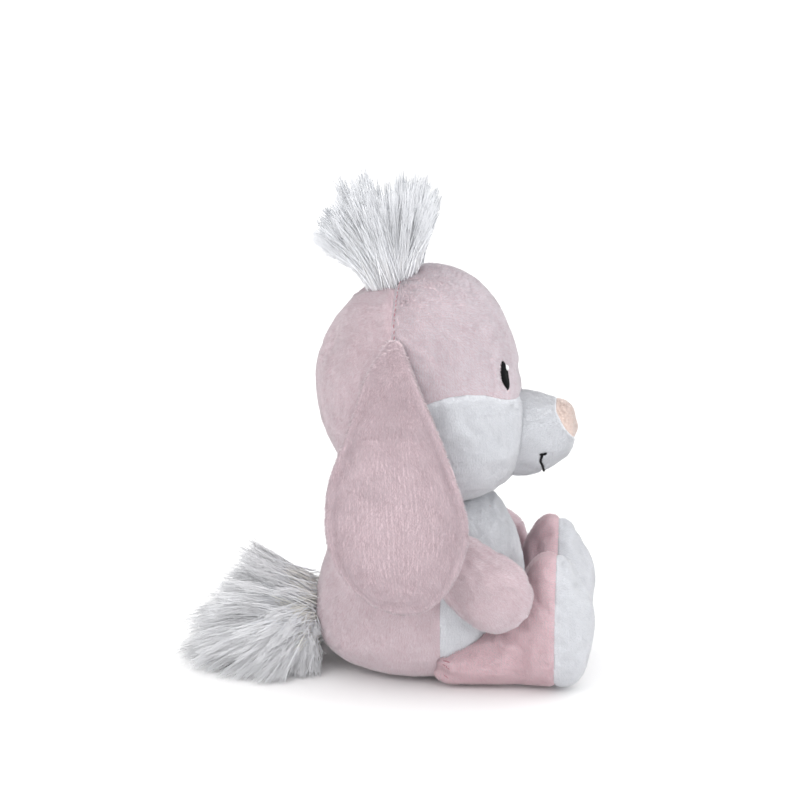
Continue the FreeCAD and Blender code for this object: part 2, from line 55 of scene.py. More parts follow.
EAR = [(176.6, 43.0, 9.2, 2.9, 1.9), (174.0, 45.3, 9.4, 5.3, 2.5), (169.9, 48.6, 9.8, 7.8, 3.2), (164.4, 52.4, 10.0, 10.6, 3.9),
       (158.3, 54.8, 10.1, 13.6, 4.4), (148.6, 57.8, 9.1, 17.3, 4.7), (139.9, 59.4, 8.6, 20.9, 4.8),
       (130.6, 60.8, 8.3, 24.6, 4.8), (118.0, 62.4, 8.0, 29.2, 4.8), (105.8, 63.8, 7.3, 32.5, 4.8),
       (95.5, 65.0, 6.5, 33.8, 4.7), (86.0, 65.9, 6.0, 33.8, 4.6), (77.0, 66.6, 5.9, 32.0, 4.5), (70.0, 67.2, 5.4, 29.0, 4.3),
       (63.0, 67.6, 4.8, 24.6, 4.0), (57.0, 68.0, 4.0, 18.8, 3.5), (53.0, 68.2, 2.9, 13.0, 2.8), (50.6, 68.3, 2.2, 7.0, 1.9)]
ARM = [(-12.0, 42.4, 5.0, 3.0), (-10.4, 42.4, 9.6, 5.2), (-6.0, 42.6, 14.0, 7.4), (1.0, 43.0, 16.6, 8.6),
       (12.0, 44.9, 17.4, 9.1), (24.0, 47.6, 18.4, 9.4), (35.0, 50.8, 19.5, 9.5), (43.0, 53.0, 19.2, 9.2),
       (50.0, 54.3, 16.6, 8.2), (55.0, 54.9, 12.0, 6.2), (57.8, 55.1, 7.2, 4.0), (59.0, 55.2, 3.2, 1.9)]
LEG = [(-8.0, 10.2, 4.0, 3.8), (-9.6, 10.8, 7.8, 7.4), (-14.0, 12.2, 11.4, 11.0), (-22.0, 13.5, 12.9, 12.4),
       (-34.0, 15.4, 14.8, 13.0), (-44.0, 20.4, 19.6, 13.6), (-51.0, 28.2, 27.2, 14.6), (-57.0, 33.3, 32.4, 16.8),
       (-63.0, 35.4, 34.7, 19.2), (-68.0, 35.3, 34.7, 20.4), (-72.0, 34.6, 33.8, 20.2), (-76.0, 33.0, 31.4, 19.2),
       (-80.0, 31.0, 26.9, 17.0), (-83.6, 30.8, 19.8, 13.4), (-85.8, 32.6, 12.2, 8.4), (-86.8, 34.6, 5.4, 3.8)]
MUZZLE = [(-36.0, 121.4, 22.8, 21.6), (-48.0, 121.2, 23.2, 21.9), (-55.0, 121.2, 22.9, 21.0), (-62.0, 121.6, 21.6, 18.8),
          (-68.0, 122.6, 19.2, 16.0), (-72.0, 123.3, 16.2, 13.7), (-74.8, 124.0, 11.6, 9.8), (-76.2, 124.6, 5.2, 4.4)]
PITCH, LEFT_PITCH = math.radians(29.5), math.radians(43.0)
SHOULDER = (-5.0, 75.0)


# ------------------------------------------------------------------------------------------
# numeric helpers
# ------------------------------------------------------------------------------------------
def spline(t, y):
    """natural cubic spline through (t, y), y may have several columns"""
    t = np.asarray(t, float)
    y = np.asarray(y, float)
    if y.ndim == 1:
        y = y[:, None]
    n = len(t)
    h = np.diff(t)
    m = np.zeros((n, n))
    r = np.zeros((n, y.shape[1]))
    m[0, 0] = m[-1, -1] = 1
    for i in range(1, n - 1):
        m[i, i - 1], m[i, i], m[i, i + 1] = h[i - 1], 2 * (h[i - 1] + h[i]), h[i]
        r[i] = 6 * ((y[i + 1] - y[i]) / h[i] - (y[i] - y[i - 1]) / h[i - 1])
    k = np.linalg.solve(m, r)

    def f(x):
        x = np.asarray(x, float)
        i = np.clip(np.searchsorted(t, x) - 1, 0, n - 2)
        a = ((t[i + 1] - x) / h[i])[:, None]
        b = ((x - t[i]) / h[i])[:, None]
        return a * y[i] + b * y[i + 1] + ((a ** 3 - a) * k[i] + (b ** 3 - b) * k[i + 1]) * (h[i] ** 2)[:, None] / 6

    return f


def lattice(seed):
    return np.random.default_rng(seed).random((64, 64, 64)).astype(np.float32) * 2 - 1


_lat = lattice(3)


def noise(p, scale, offset=0.0):
    """smooth value noise from -1 to 1, one lump about scale millimetres"""
    q = p / scale + offset
    i = np.floor(q).astype(int)
    f = q - i
    f = f * f * (3 - 2 * f)
    out = np.zeros(len(p))
    for dx in (0, 1):
        for dy in (0, 1):
            for dz in (0, 1):
                w = (f[:, 0] if dx else 1 - f[:, 0]) * (f[:, 1] if dy else 1 - f[:, 1]) * (f[:, 2] if dz else 1 - f[:, 2])
                out += w * _lat[(i[:, 0] + dx) % 64, (i[:, 1] + dy) % 64, (i[:, 2] + dz) % 64]
    return out


def unit(v):
    return v / np.maximum(np.linalg.norm(v, axis=-1, keepdims=True), 1e-9)


def vertex_normals(v, f):
    """area weighted normals of a mesh with triangles or quads in f (a list of index arrays)"""
    n = np.zeros_like(v)
    for q in f:
        a, b, c = v[q[:, 0]], v[q[:, 1]], v[q[:, 2]]
        if q.shape[1] == 4:
            d = v[q[:, 3]]
            fn = np.cross(c - a, d - b)
        else:
            fn = np.cross(b - a, c - a)
        for k in range(q.shape[1]):
            np.add.at(n, q[:, k], fn)
    return unit(n)


class Shape:
    """a closed surface: vertices in millimetres, quads and triangles, outward normals"""

    def __init__(self, v, quads, tris):
        self.v, self.quads, self.tris = v, quads, tris

    def normals(self):
        return vertex_normals(self.v, [self.quads, self.tris])

    def push(self, amount):
        self.v = self.v + self.normals() * np.asarray(amount)[:, None]
        return self


def sweep(rows, lo, hi, place, step, grow=0.0, boxy=None):
    """A closed surface through elliptical sections. rows: (s, c.., a, b); lo, hi: s of the two poles.
    place(s, c, p, q) turns the ring's own coordinates into points."""
    rows = np.array(rows, float)
    up = 1.0 if hi > lo else -1.0
    s = rows[:, 0]
    a, b = np.maximum(rows[:, -2] + grow, 0.3), np.maximum(rows[:, -1] + grow, 0.3)
    c = rows[:, 1:-2]
    lo2, hi2 = lo - grow * up, hi + grow * up
    mid = (lo + hi) / 2
    s = mid + (s - mid) * (hi2 - lo2) / (hi - lo)
    S0 = np.concatenate([[s[1], s[0], lo2], s, [hi2, s[-1], s[-2]]])
    A0 = np.concatenate([[-a[1], -a[0], 0], a, [0, -a[-1], -a[-2]]])
    B0 = np.concatenate([[-b[1], -b[0], 0], b, [0, -b[-1], -b[-2]]])
    C0 = np.concatenate([c[[1, 0, 0]], c, c[[-1, -1, -2]]])
    t = np.concatenate([[0], np.cumsum(np.hypot(np.diff(S0), np.hypot(np.diff(A0), np.diff(B0)) / 1.4142))])
    f = spline(t, np.column_stack([S0, C0, A0, B0]))
    t0, t1 = t[2], t[-3]
    n_rings = max(12, int((t1 - t0) / step))
    tt = t0 + (t1 - t0) * (np.arange(1, n_rings)) / n_rings
    r = f(tt)
    amax = max(a.max(), b.max())
    n_seg = max(24, int(2 * math.pi * (0.5 * (a.max() + b.max())) / step / 4) * 4)
    th = np.arange(n_seg) * 2 * math.pi / n_seg
    ca, sa = np.cos(th), np.sin(th)
    p = np.abs(r[:, -2])[:, None] * ca[None]
    q = np.abs(r[:, -1])[:, None] * sa[None]
    if boxy is not None:  # fuller than an ellipse on the side where p is negative
        k = boxy(r[:, 0])[:, None]
        full = (np.abs(ca)[None] ** k + np.abs(sa)[None] ** k) ** (-1 / k)
        full = np.where(ca[None] < 0, full, 1.0)
        p, q = p * full, q * full
    ss = np.repeat(r[:, 0], n_seg)
    cc = np.repeat(r[:, 1:-2], n_seg, axis=0)
    v = place(ss, cc, p.ravel(), q.ravel())
    ends = f(np.array([t0, t1]))
    poles = place(ends[:, 0], ends[:, 1:-2], np.zeros(2), np.zeros(2))
    v = np.vstack([v, poles])
    m = len(tt)
    i = np.arange(m - 1)[:, None] * n_seg
    j = np.arange(n_seg)[None]
    k = (j + 1) % n_seg
    quads = np.stack([(i + j), (i + k), (i + n_seg + k), (i + n_seg + j)], -1).reshape(-1, 4)
    j, k = np.arange(n_seg), (np.arange(n_seg) + 1) % n_seg
    bot = np.stack([np.full(n_seg, m * n_seg), k, j], -1)
    top = np.stack([np.full(n_seg, m * n_seg + 1), (m - 1) * n_seg + j, (m - 1) * n_seg + k], -1)
    tris = np.vstack([bot, top])
    sh = Shape(v, quads, tris)
    # outward: the signed volume is positive
    a0, b0, c0 = v[quads[:, 0]], v[quads[:, 1]], v[quads[:, 2]]
    if np.einsum("ij,ij->", a0 - v.mean(0), np.cross(b0 - v.mean(0), c0 - v.mean(0))) < 0:
        sh.quads, sh.tris = quads[:, ::-1], tris[:, ::-1]
    return sh


def flat_place(s, c, p, q):
    return np.column_stack([-q, c[:, 0] + p, s])


def ear_place(s, c, p, q):
    return np.column_stack([-c[:, 0] - q, c[:, 1] + p, s])


def arm_place(pitch):
    a, b = math.cos(pitch), math.sin(pitch)
    return lambda s, c, p, q: np.column_stack([-c[:, 0] - q, SHOULDER[0] - s * a - p * b, SHOULDER[1] - s * b + p * a])


def leg_place(s, c, p, q):
    return np.column_stack([-30.0 - q, s, c[:, 0] + p])


def muzzle_place(s, c, p, q):
    return np.column_stack([p, s, c[:, 0] + q])


def mesh_object(name, v, faces, materials, index=None, smooth=True, normals=None):
    """faces: list of (n, k) index arrays. index: one array of material indices for each."""
    me = bpy.data.meshes.new(name)
    v = np.asarray(v, np.float32) * S
    me.vertices.add(len(v))
    me.vertices.foreach_set("co", v.ravel())
    loops = np.concatenate([f.ravel() for f in faces]).astype(np.int32)
    sizes = np.concatenate([np.full(len(f), f.shape[1]) for f in faces]).astype(np.int32)
    me.loops.add(len(loops))
    me.loops.foreach_set("vertex_index", loops)
    me.polygons.add(len(sizes))
    me.polygons.foreach_set("loop_start", np.concatenate([[0], np.cumsum(sizes)[:-1]]).astype(np.int32))
    if index is not None:
        me.polygons.foreach_set("material_index", np.concatenate(index).astype(np.int32))
    me.update(calc_edges=True)
    me.validate()
    me.polygons.foreach_set("use_smooth", np.full(len(me.polygons), smooth))
    if normals is not None:
        me.normals_split_custom_set_from_vertices(np.asarray(normals, np.float32))
    for m in materials:
        me.materials.append(m)
    o = bpy.data.objects.new(name, me)
    bpy.context.scene.collection.objects.link(o)
    return o


def read(o):
    me = o.data
    v = np.zeros(len(me.vertices) * 3, np.float32)
    me.vertices.foreach_get("co", v)
    n = np.zeros(len(me.vertices) * 3, np.float32)
    me.vertices.foreach_get("normal", n)
    me.calc_loop_triangles()
    t = np.zeros(len(me.loop_triangles) * 3, np.int32)
    me.loop_triangles.foreach_get("vertices", t)
    return v.reshape(-1, 3).astype(float) / S, n.reshape(-1, 3).astype(float), t.reshape(-1, 3)


def split(shape, cuts):
    """Cuts a Shape by warped planes. cuts: list of (warp, unwarp, keep_above); warp maps points so that the
    seam is at third coordinate 0. Returns vertices and faces of what is kept."""
    bm = bmesh.new()
    for p in shape.v:
        bm.verts.new(p)
    bm.verts.ensure_lookup_table()
    vs = bm.verts
    for f in list(shape.quads) + list(shape.tris):
        bm.faces.new([vs[int(i)] for i in f])
    for warp, unwarp, above in cuts:
        co = np.array([x.co for x in bm.verts])
        w = warp(co)
        for x, c in zip(bm.verts, w):
            x.co = c
        geom = list(bm.verts) + list(bm.edges) + list(bm.faces)
        bmesh.ops.bisect_plane(bm, geom=geom, dist=1e-5, plane_co=(0, 0, 0), plane_no=(0, 0, 1), clear_inner=above, clear_outer=not above)
        co = np.array([x.co for x in bm.verts])
        w = unwarp(co)
        for x, c in zip(bm.verts, w):
            x.co = c
    bm.normal_update()
    bm.verts.index_update()
    v = np.array([x.co for x in bm.verts])
    q = np.array([[x.index for x in f.verts] for f in bm.faces if len(f.verts) == 4]).reshape(-1, 4)
    t = np.array([[x.index for x in f.verts] for f in bm.faces if len(f.verts) == 3]).reshape(-1, 3)
    more = [[x.index for x in f.verts] for f in bm.faces if len(f.verts) > 4]
    fan = [[g[0], g[i], g[i + 1]] for g in more for i in range(1, len(g) - 1)]
    if fan:
        t = np.vstack([t, np.array(fan)])
    bm.free()
    return v, [q.astype(int), t.astype(int)]


def by_y(y0):
    return (lambda c: np.column_stack([c[:, 0], c[:, 2], c[:, 1] - y0]), lambda c: np.column_stack([c[:, 0], c[:, 2] + y0, c[:, 1]]))


def by_z(f):
    return (lambda c: np.column_stack([c[:, 0], c[:, 1], c[:, 2] - f(c[:, 1])]), lambda c: np.column_stack([c[:, 0], c[:, 1], c[:, 2] + f(c[:, 1])]))


def by_x(f, k):
    """seam where x equals f(coordinate k)"""
    if k == 2:
        return (lambda c: np.column_stack([c[:, 1], c[:, 2], c[:, 0] - f(c[:, 2])]), lambda c: np.column_stack([c[:, 2] + f(c[:, 1]), c[:, 0], c[:, 1]]))
    return (lambda c: np.column_stack([c[:, 1], c[:, 2], c[:, 0] - f(c[:, 1])]), lambda c: np.column_stack([c[:, 2] + f(c[:, 0]), c[:, 0], c[:, 1]]))


def groove(d, deep, wide):
    return -deep * np.exp(-(d / wide) ** 2)


# ------------------------------------------------------------------------------------------
# materials
# ------------------------------------------------------------------------------------------
def principled(name):
    m = bpy.data.materials.new(name)
    m.use_nodes = True
    return m, m.node_tree, m.node_tree.nodes["Principled BSDF"]


def knit(name, low, high, scale=900.0, sheen=0.35, rough=0.9):
    """the cloth under the pile: mottled colour, knitted loops and a broken soft bump"""
    m, t, p = principled(name)
    n, l = t.nodes, t.links
    co = n.new("ShaderNodeTexCoord")
    cloud = n.new("ShaderNodeTexNoise")
    cloud.inputs["Scale"].default_value = 60.0
    cloud.inputs["Detail"].default_value = 5.0
    fine = n.new("ShaderNodeTexNoise")
    fine.inputs["Scale"].default_value = scale
    fine.inputs["Detail"].default_value = 3.0
    loops = n.new("ShaderNodeTexVoronoi")
    loops.inputs["Scale"].default_value = scale * 1.1
    for x in (cloud, fine, loops):
        l.new(co.outputs["Object"], x.inputs["Vector"])
    mix = n.new("ShaderNodeMix")
    mix.data_type = "FLOAT"
    mix.inputs[0].default_value = 0.55
    l.new(cloud.outputs["Fac"], mix.inputs[2])
    l.new(fine.outputs["Fac"], mix.inputs[3])
    ramp = n.new("ShaderNodeValToRGB")
    ramp.color_ramp.elements[0].position, ramp.color_ramp.elements[1].position = 0.3, 0.72
    ramp.color_ramp.elements[0].color = (*low, 1)
    ramp.color_ramp.elements[1].color = (*high, 1)
    l.new(mix.outputs[0], ramp.inputs["Fac"])
    l.new(ramp.outputs["Color"], p.inputs["Base Color"])
    bump = n.new("ShaderNodeBump")
    bump.inputs["Strength"].default_value = 0.5
    bump.inputs["Distance"].default_value = 0.0004
    l.new(loops.outputs["Distance"], bump.inputs["Height"])
    l.new(bump.outputs["Normal"], p.inputs["Normal"])
    p.inputs["Roughness"].default_value = rough
    p.inputs["Specular IOR Level"].default_value = 0.2
    p.inputs["Sheen Weight"].default_value = sheen
    p.inputs["Sheen Roughness"].default_value = 0.5
    return m


def fibre(name, colour, sheen=0.45, rough=0.9, tint=(1, 1, 1)):
    """one shade of pile; each piece of pile mixes several shades fibre by fibre"""
    m, t, p = principled(name)
    p.inputs["Base Color"].default_value = (*colour, 1)
    p.inputs["Roughness"].default_value = rough
    p.inputs["Specular IOR Level"].default_value = 0.15
    p.inputs["Sheen Weight"].default_value = sheen
    p.inputs["Sheen Roughness"].default_value = 0.45
    p.inputs["Sheen Tint"].default_value = (*tint, 1)
    return m


def satin(name, dark, light, rough, scale=1400.0):
    """satin stitch: parallel glossy threads"""
    m, t, p = principled(name)
    n, l = t.nodes, t.links
    co = n.new("ShaderNodeTexCoord")
    wave = n.new("ShaderNodeTexWave")
    wave.bands_direction = "Z"
    wave.inputs["Scale"].default_value = scale
    wave.inputs["Distortion"].default_value = 1.2
    wave.inputs["Detail"].default_value = 2.0
    l.new(co.outputs["Object"], wave.inputs["Vector"])
    ramp = n.new("ShaderNodeValToRGB")
    ramp.color_ramp.elements[0].color = (*dark, 1)
    ramp.color_ramp.elements[1].color = (*light, 1)
    l.new(wave.outputs["Fac"], ramp.inputs["Fac"])
    l.new(ramp.outputs["Color"], p.inputs["Base Color"])
    bump = n.new("ShaderNodeBump")
    bump.inputs["Strength"].default_value = 0.4
    bump.inputs["Distance"].default_value = 0.0002
    l.new(wave.outputs["Fac"], bump.inputs["Height"])
    l.new(bump.outputs["Normal"], p.inputs["Normal"])
    p.inputs["Specular IOR Level"].default_value = 0.12
    p.inputs["Roughness"].default_value = rough
    return m


# pink and white knit: painted shade, the cloth is coloured darker than its pile so that it stands for the shadow the
# pile casts on the cloth between the fibres
M_PINK_SHADED = knit("pink_knit_shaded", (0.655, 0.515, 0.55), (0.73, 0.585, 0.625))
M_WHITE_SHADED = knit("white_knit_shaded", (0.665, 0.68, 0.715), (0.74, 0.755, 0.795))
M_PEACH = knit("peach_knit", (0.70, 0.55, 0.49), (0.80, 0.665, 0.61))
M_BACKING = knit("backing_knit", (0.66, 0.65, 0.60), (0.80, 0.79, 0.75))
M_BLACK = satin("black_satin", (0.002, 0.002, 0.0025), (0.006, 0.006, 0.008), 0.6)
M_GLINT = satin("white_satin", (0.80, 0.80, 0.82), (0.94, 0.94, 0.95), 0.4)
M_THREAD = satin("pink_sewing_thread", (0.40, 0.16, 0.19), (0.62, 0.32, 0.36), 0.6)
P_PINK = [fibre("pink_pile_a", (0.737, 0.604, 0.645)), fibre("pink_pile_b", (0.778, 0.658, 0.699)), fibre("pink_pile_c", (0.687, 0.533, 0.577)), fibre("pink_pile_tip", (0.752, 0.641, 0.683))]
# forehead pile: painted highlight, a paler lilac copy of the pink pile for the front-lit forehead
P_BROW_HIGHLIGHT = [fibre("brow_highlight_pile_a", (0.737, 0.646, 0.693)), fibre("brow_highlight_pile_b", (0.778, 0.703, 0.751)), fibre("brow_highlight_pile_c", (0.687, 0.571, 0.620)), fibre("brow_highlight_pile_tip", (0.752, 0.686, 0.735))]
# outer ear pile: painted shade, a darker copy of the pink pile so the ear, which faces the lights, reads darker
P_EAR_SHADED = [fibre("ear_shaded_pile_a", (0.604, 0.481, 0.520)), fibre("ear_shaded_pile_b", (0.631, 0.517, 0.556)), fibre("ear_shaded_pile_c", (0.568, 0.437, 0.476)), fibre("ear_shaded_pile_tip", (0.623, 0.509, 0.549))]
# leg pile: painted shade, a deeper, more saturated copy of the pink pile for the low-lying legs
P_LEG_SHADE = [fibre("leg_shade_pile_a", (0.812, 0.581, 0.627)), fibre("leg_shade_pile_b", (0.833, 0.616, 0.658)), fibre("leg_shade_pile_c", (0.776, 0.535, 0.581)), fibre("leg_shade_pile_tip", (0.818, 0.606, 0.648))]
P_WHITE = [fibre("white_pile_a", (0.775, 0.79, 0.83)), fibre("white_pile_b", (0.795, 0.81, 0.85)), fibre("white_pile_c", (0.735, 0.75, 0.795)), fibre("white_pile_tip", (0.79, 0.80, 0.84))]
P_PEACH = [fibre("peach_pile_a", (0.77, 0.62, 0.565)), fibre("peach_pile_b", (0.79, 0.65, 0.60)), fibre("peach_pile_c", (0.75, 0.58, 0.51)), fibre("peach_pile_tip", (0.80, 0.69, 0.65))]
P_FUR = [fibre("fur_a", (0.94, 0.95, 0.985), 0.3, 0.6), fibre("fur_b", (0.955, 0.965, 0.99), 0.3, 0.6), fibre("fur_c", (0.915, 0.93, 0.975), 0.3, 0.6), fibre("fur_tip", (0.95, 0.955, 0.98), 0.2, 0.6), fibre("fur_root", (0.91, 0.895, 0.85), 0.2, 0.7)]
# crown tuft's fur: painted light, a brighter copy of the white fur with a strong bluish sheen, so the tuft on top reads
# whiter than the tail
BLUISH = (0.9, 0.94, 1.0)
P_TUFT_LIT = [fibre("tuft_a", (0.95, 0.962, 0.995), 0.9, 0.6, BLUISH), fibre("tuft_b", (0.965, 0.975, 0.995), 0.9, 0.6, BLUISH), fibre("tuft_c", (0.935, 0.95, 0.99), 0.9, 0.6, BLUISH), fibre("tuft_tip", (0.955, 0.965, 0.995), 0.7, 0.6, BLUISH), fibre("tuft_root", (0.93, 0.93, 0.94), 0.5, 0.7, BLUISH)]

solid_trees = {}


def tree(name, shape):
    """the closed shape, to ask whether a point is inside it"""
    faces = [list(map(int, f)) for f in shape.quads] + [list(map(int, f)) for f in shape.tris]
    solid_trees[name] = BVHTree.FromPolygons([tuple(p) for p in shape.v], faces)


def depth_inside(points, name):
    """how deep each point lies inside the named shape, in millimetres; negative outside"""
    t = solid_trees[name]
    out = np.full(len(points), -50.0)
    for i, p in enumerate(points):
        near = t.find_nearest(Vector(p), 12.0)
        if near[0] is not None:
            d = Vector(p) - near[0]
            out[i] = -d.dot(near[1]) if d.length > 1e-9 else 0.0
    return out


# ------------------------------------------------------------------------------------------
# pile: real fibres standing on the cloth
# ------------------------------------------------------------------------------------------
def pile(name, cloth, body, materials, per_mm2, length, nap, seed, width=0.56, lean=1.0, hide=(), seams=None, clump=0.26, tips=0.8, clear=None):
    """cloth: the panel's object. nap(points, normals) gives the way the pile is brushed. clear(points) is positive
    where nothing grows. Each fibre is a fine three-sided spike."""
    rng = np.random.default_rng(seed)
    v, vn, t = read(cloth)
    a, b, c = v[t[:, 0]], v[t[:, 1]], v[t[:, 2]]
    area = np.linalg.norm(np.cross(b - a, c - a), axis=1) / 2
    # three evenly placed fibres to a triangle, so that the pile stands evenly; fewer on small triangles
    tri = np.repeat(np.arange(len(t)), 3)
    w = np.tile(np.array([[4.0, 1, 1], [1, 4, 1], [1, 1, 4]]) / 6, (len(t), 1)) + 0.075 * rng.standard_normal((len(tri), 3))
    w = np.clip(w, 0.02, None)
    w /= w.sum(1, keepdims=True)
    chance = np.clip(area[tri] * per_mm2 / 3, 0, 1)
    chance *= min(1.0, 66000 / chance.sum())
    run = np.cumsum(chance) + rng.random()
    sown = np.floor(run) > np.floor(run - chance)
    tri, w = tri[sown], w[sown]
    count = len(tri)
    p = (v[t[tri]] * w[:, :, None]).sum(1)
    n = unit((vn[t[tri]] * w[:, :, None]).sum(1))
    keep = np.ones(count, bool)
    for other in hide:
        keep &= depth_inside(p, other) < 1.2
    gap = None
    if seams is not None:
        gap = np.abs(seams(p))
        keep &= gap > 0.4
    if clear is not None:
        keep &= clear(p) < 0
    p, n = p[keep], n[keep]
    count = len(p)
    d = nap(p, n)
    d = unit(d - n * np.einsum("ij,ij->i", d, n)[:, None])
    side = np.cross(n, d)
    swirl = 0.40 * noise(p, 22.0, 2.3) + 0.28 * noise(p, 7.0, 9.1)
    d = unit(d * np.cos(swirl)[:, None] + side * np.sin(swirl)[:, None])
    side = np.cross(n, d)
    ln = length * (0.94 + 0.12 * rng.random(count)) * (1 + clump * 0.35 * noise(p, 3.0, 4.0))
    ang = lean + 0.10 * noise(p, 9.0, 5.5) + 0.06 * rng.standard_normal(count) + clump * 0.35 * noise(p, 2.6, 7.7)
    if gap is not None:
        near = np.exp(-(gap[keep] / 1.8) ** 2)
        ln = ln * (1 - 0.45 * near)
    ang = np.clip(ang, 0.05, 1.35)
    jit = 0.22 * rng.standard_normal(count)
    way = d * np.cos(jit)[:, None] + side * np.sin(jit)[:, None]
    axis = unit(n * np.cos(ang)[:, None] + way * np.sin(ang)[:, None])
    e0 = unit(np.cross(axis, n + 1e-4))
    e1 = np.cross(axis, e0)
    wd = width * (0.75 + 0.5 * rng.random(count))
    root = p - n * 0.35
    tip = p + axis * ln[:, None]
    V = np.empty((count, 4, 3))
    turn = 0.6 * rng.standard_normal(count)
    for k in range(3):
        a = turn + 2 * math.pi * k / 3 + math.pi / 2
        V[:, k] = root + (e0 * np.cos(a)[:, None] + e1 * np.sin(a)[:, None]) * (wd * 0.58)[:, None]
    V[:, 3] = tip
    base = np.arange(count)[:, None] * 4
    tr = np.concatenate([base + np.array([0, 1, 3]), base + np.array([1, 2, 3]), base + np.array([2, 0, 3])], 1).reshape(-1, 3)
    # soft patches where the pile lies lighter or darker
    patch = 0.6 * noise(p, 6.0, 14.0) + 0.5 * noise(p, 2.4, 15.0) + 0.45 * rng.standard_normal(count)
    shade = np.where(patch > 0.55, 1, np.where(patch < -0.55, 2, 0))
    shade = np.where(rng.random(count) < 0.25 * tips, 3, shade)
    own = V - p[:, None] - axis[:, None] * np.einsum("ijk,ik->ij", V - p[:, None], axis)[:, :, None]
    N = unit(n[:, None] + 0.38 * unit(own))
    N[:, 3] = unit(n + 0.15 * way)
    o = mesh_object(name, V.reshape(-1, 3), [tr], materials, [np.repeat(shade, 3)], True, N.reshape(-1, 3))
    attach(o, body)
    return o


def strands(name, roots, mids, tips, widths, body, materials, seed, around, levels=6, frizz=1.0, cream=0.25, own_share=0.2):
    """long fur: thin three-sided tapering hairs along quadratic curves"""
    rng = np.random.default_rng(seed)
    n = len(roots)
    t = np.linspace(0, 1, levels)
    pts = ((1 - t)[None, :, None] ** 2) * roots[:, None] + (2 * t * (1 - t))[None, :, None] * mids[:, None] + (t[None, :, None] ** 2) * tips[:, None]
    wob = rng.standard_normal((n, 1, 3)) * 0.5 * frizz
    ph = rng.random((n, 1)) * 6.28
    pts = pts + wob * np.sin(t[None] * 5.0 + ph)[:, :, None] * t[None, :, None]
    pts[:, :, 2] = np.maximum(pts[:, :, 2], 0.6)  # nothing goes through the floor
    tan = np.gradient(pts, axis=1)
    tan = unit(tan)
    ref = unit(rng.standard_normal((n, 1, 3)))
    e0 = unit(np.cross(tan, np.broadcast_to(ref, tan.shape)))
    e1 = np.cross(tan, e0)
    rad = widths[:, None] * 0.5 * (1 - 0.66 * t[None] ** 2.2)
    ring = []
    for k in range(3):
        a = k * 2 * math.pi / 3
        ring.append(pts + (e0 * math.cos(a) + e1 * math.sin(a)) * rad[:, :, None])
    V = np.stack(ring, 2)  # n, levels, 3, 3
    idx = np.arange(n * levels * 3).reshape(n, levels, 3)
    quads = []
    for k in range(3):
        k2 = (k + 1) % 3
        quads.append(np.stack([idx[:, :-1, k], idx[:, :-1, k2], idx[:, 1:, k2], idx[:, 1:, k]], -1))
    quads = np.stack(quads, 2).reshape(-1, 4)
    shade = rng.choice(3, n, p=[0.45, 0.35, 0.2])
    lvl = np.arange(levels - 1)
    index = np.repeat(shade[:, None], levels - 1, 1)
    index = np.where(lvl[None] >= levels - 3, 3, index)
    rootish = (rng.random((n, 1)) < cream) & (lvl[None] <= 1)
    index = np.where(rootish, 4, index)
    index = np.repeat(index[:, :, None], 3, 2).reshape(-1)
    caps = np.vstack([idx[:, 0, ::-1], idx[:, -1]])
    cap_index = np.concatenate([shade, np.full(n, 3)])
    # each hair is shaded mostly as part of its bunch, as soft fur looks
    flat = V.reshape(-1, 3)
    own = (V - pts[:, :, None]).reshape(-1, 3)
    N = unit(own_share * unit(own) + around(flat))
    o = mesh_object(name, flat, [quads, caps], materials, [index, cap_index], True, N)
    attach(o, body)
    return o


def down(p, n):
    return np.tile([0.0, 0.0, -1.0], (len(p), 1))


def thread(name, paths, radius, body, material, sides=6):
    """short sewn stitches or a cord of thread along the given paths (millimetres)"""
    V, Q, T, base = [], [], [], 0
    for path in paths:
        path = np.asarray(path, float)
        m = len(path)
        tan = unit(np.gradient(path, axis=0))
        ref = np.array([0.31, 0.2, 0.93])
        e0 = unit(np.cross(tan, ref))
        e1 = np.cross(tan, e0)
        prof = np.sqrt(np.clip(1 - (np.abs(np.linspace(-1, 1, m)) ** 4), 0.08, 1)) * radius
        for k in range(sides):
            a = 2 * math.pi * k / sides
            V.append(path + (e0 * math.cos(a) + e1 * math.sin(a)) * prof[:, None])
        idx = base + np.arange(sides * m).reshape(sides, m)
        for k in range(sides):
            k2 = (k + 1) % sides
            Q.append(np.stack([idx[k, :-1], idx[k2, :-1], idx[k2, 1:], idx[k, 1:]], -1))
        for col, flip in ((0, True), (m - 1, False)):
            ring = idx[:, col]
            if flip:
                ring = ring[::-1]
            for k in range(1, sides - 1):
                T.append([ring[0], ring[k], ring[k + 1]])
        base += sides * m
    o = mesh_object(name, np.vstack(V), [np.vstack(Q), np.array(T)], [material])
    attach(o, body)
    return o


def panel(name, shape, cuts, body, material, nodes, thick=1.2):
    v, faces = split(shape, cuts)
    o = mesh_object(name, v, [f for f in faces if len(f)], [material])
    sol = o.modifiers.new("cloth", "SOLIDIFY")
    sol.thickness = thick * S
    sol.offset = -1
    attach(o, body)
    if nodes:
        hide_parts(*nodes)
    return o


def mirror_shape(sh):
    return Shape(sh.v * np.array([-1.0, 1, 1]), sh.quads[:, ::-1], sh.tris[:, ::-1])


def mirror_cuts(f):
    return lambda c: f(c * np.array([-1.0, 1, 1]))


STEP = 1.35 / 1.0
INSET = -1.3


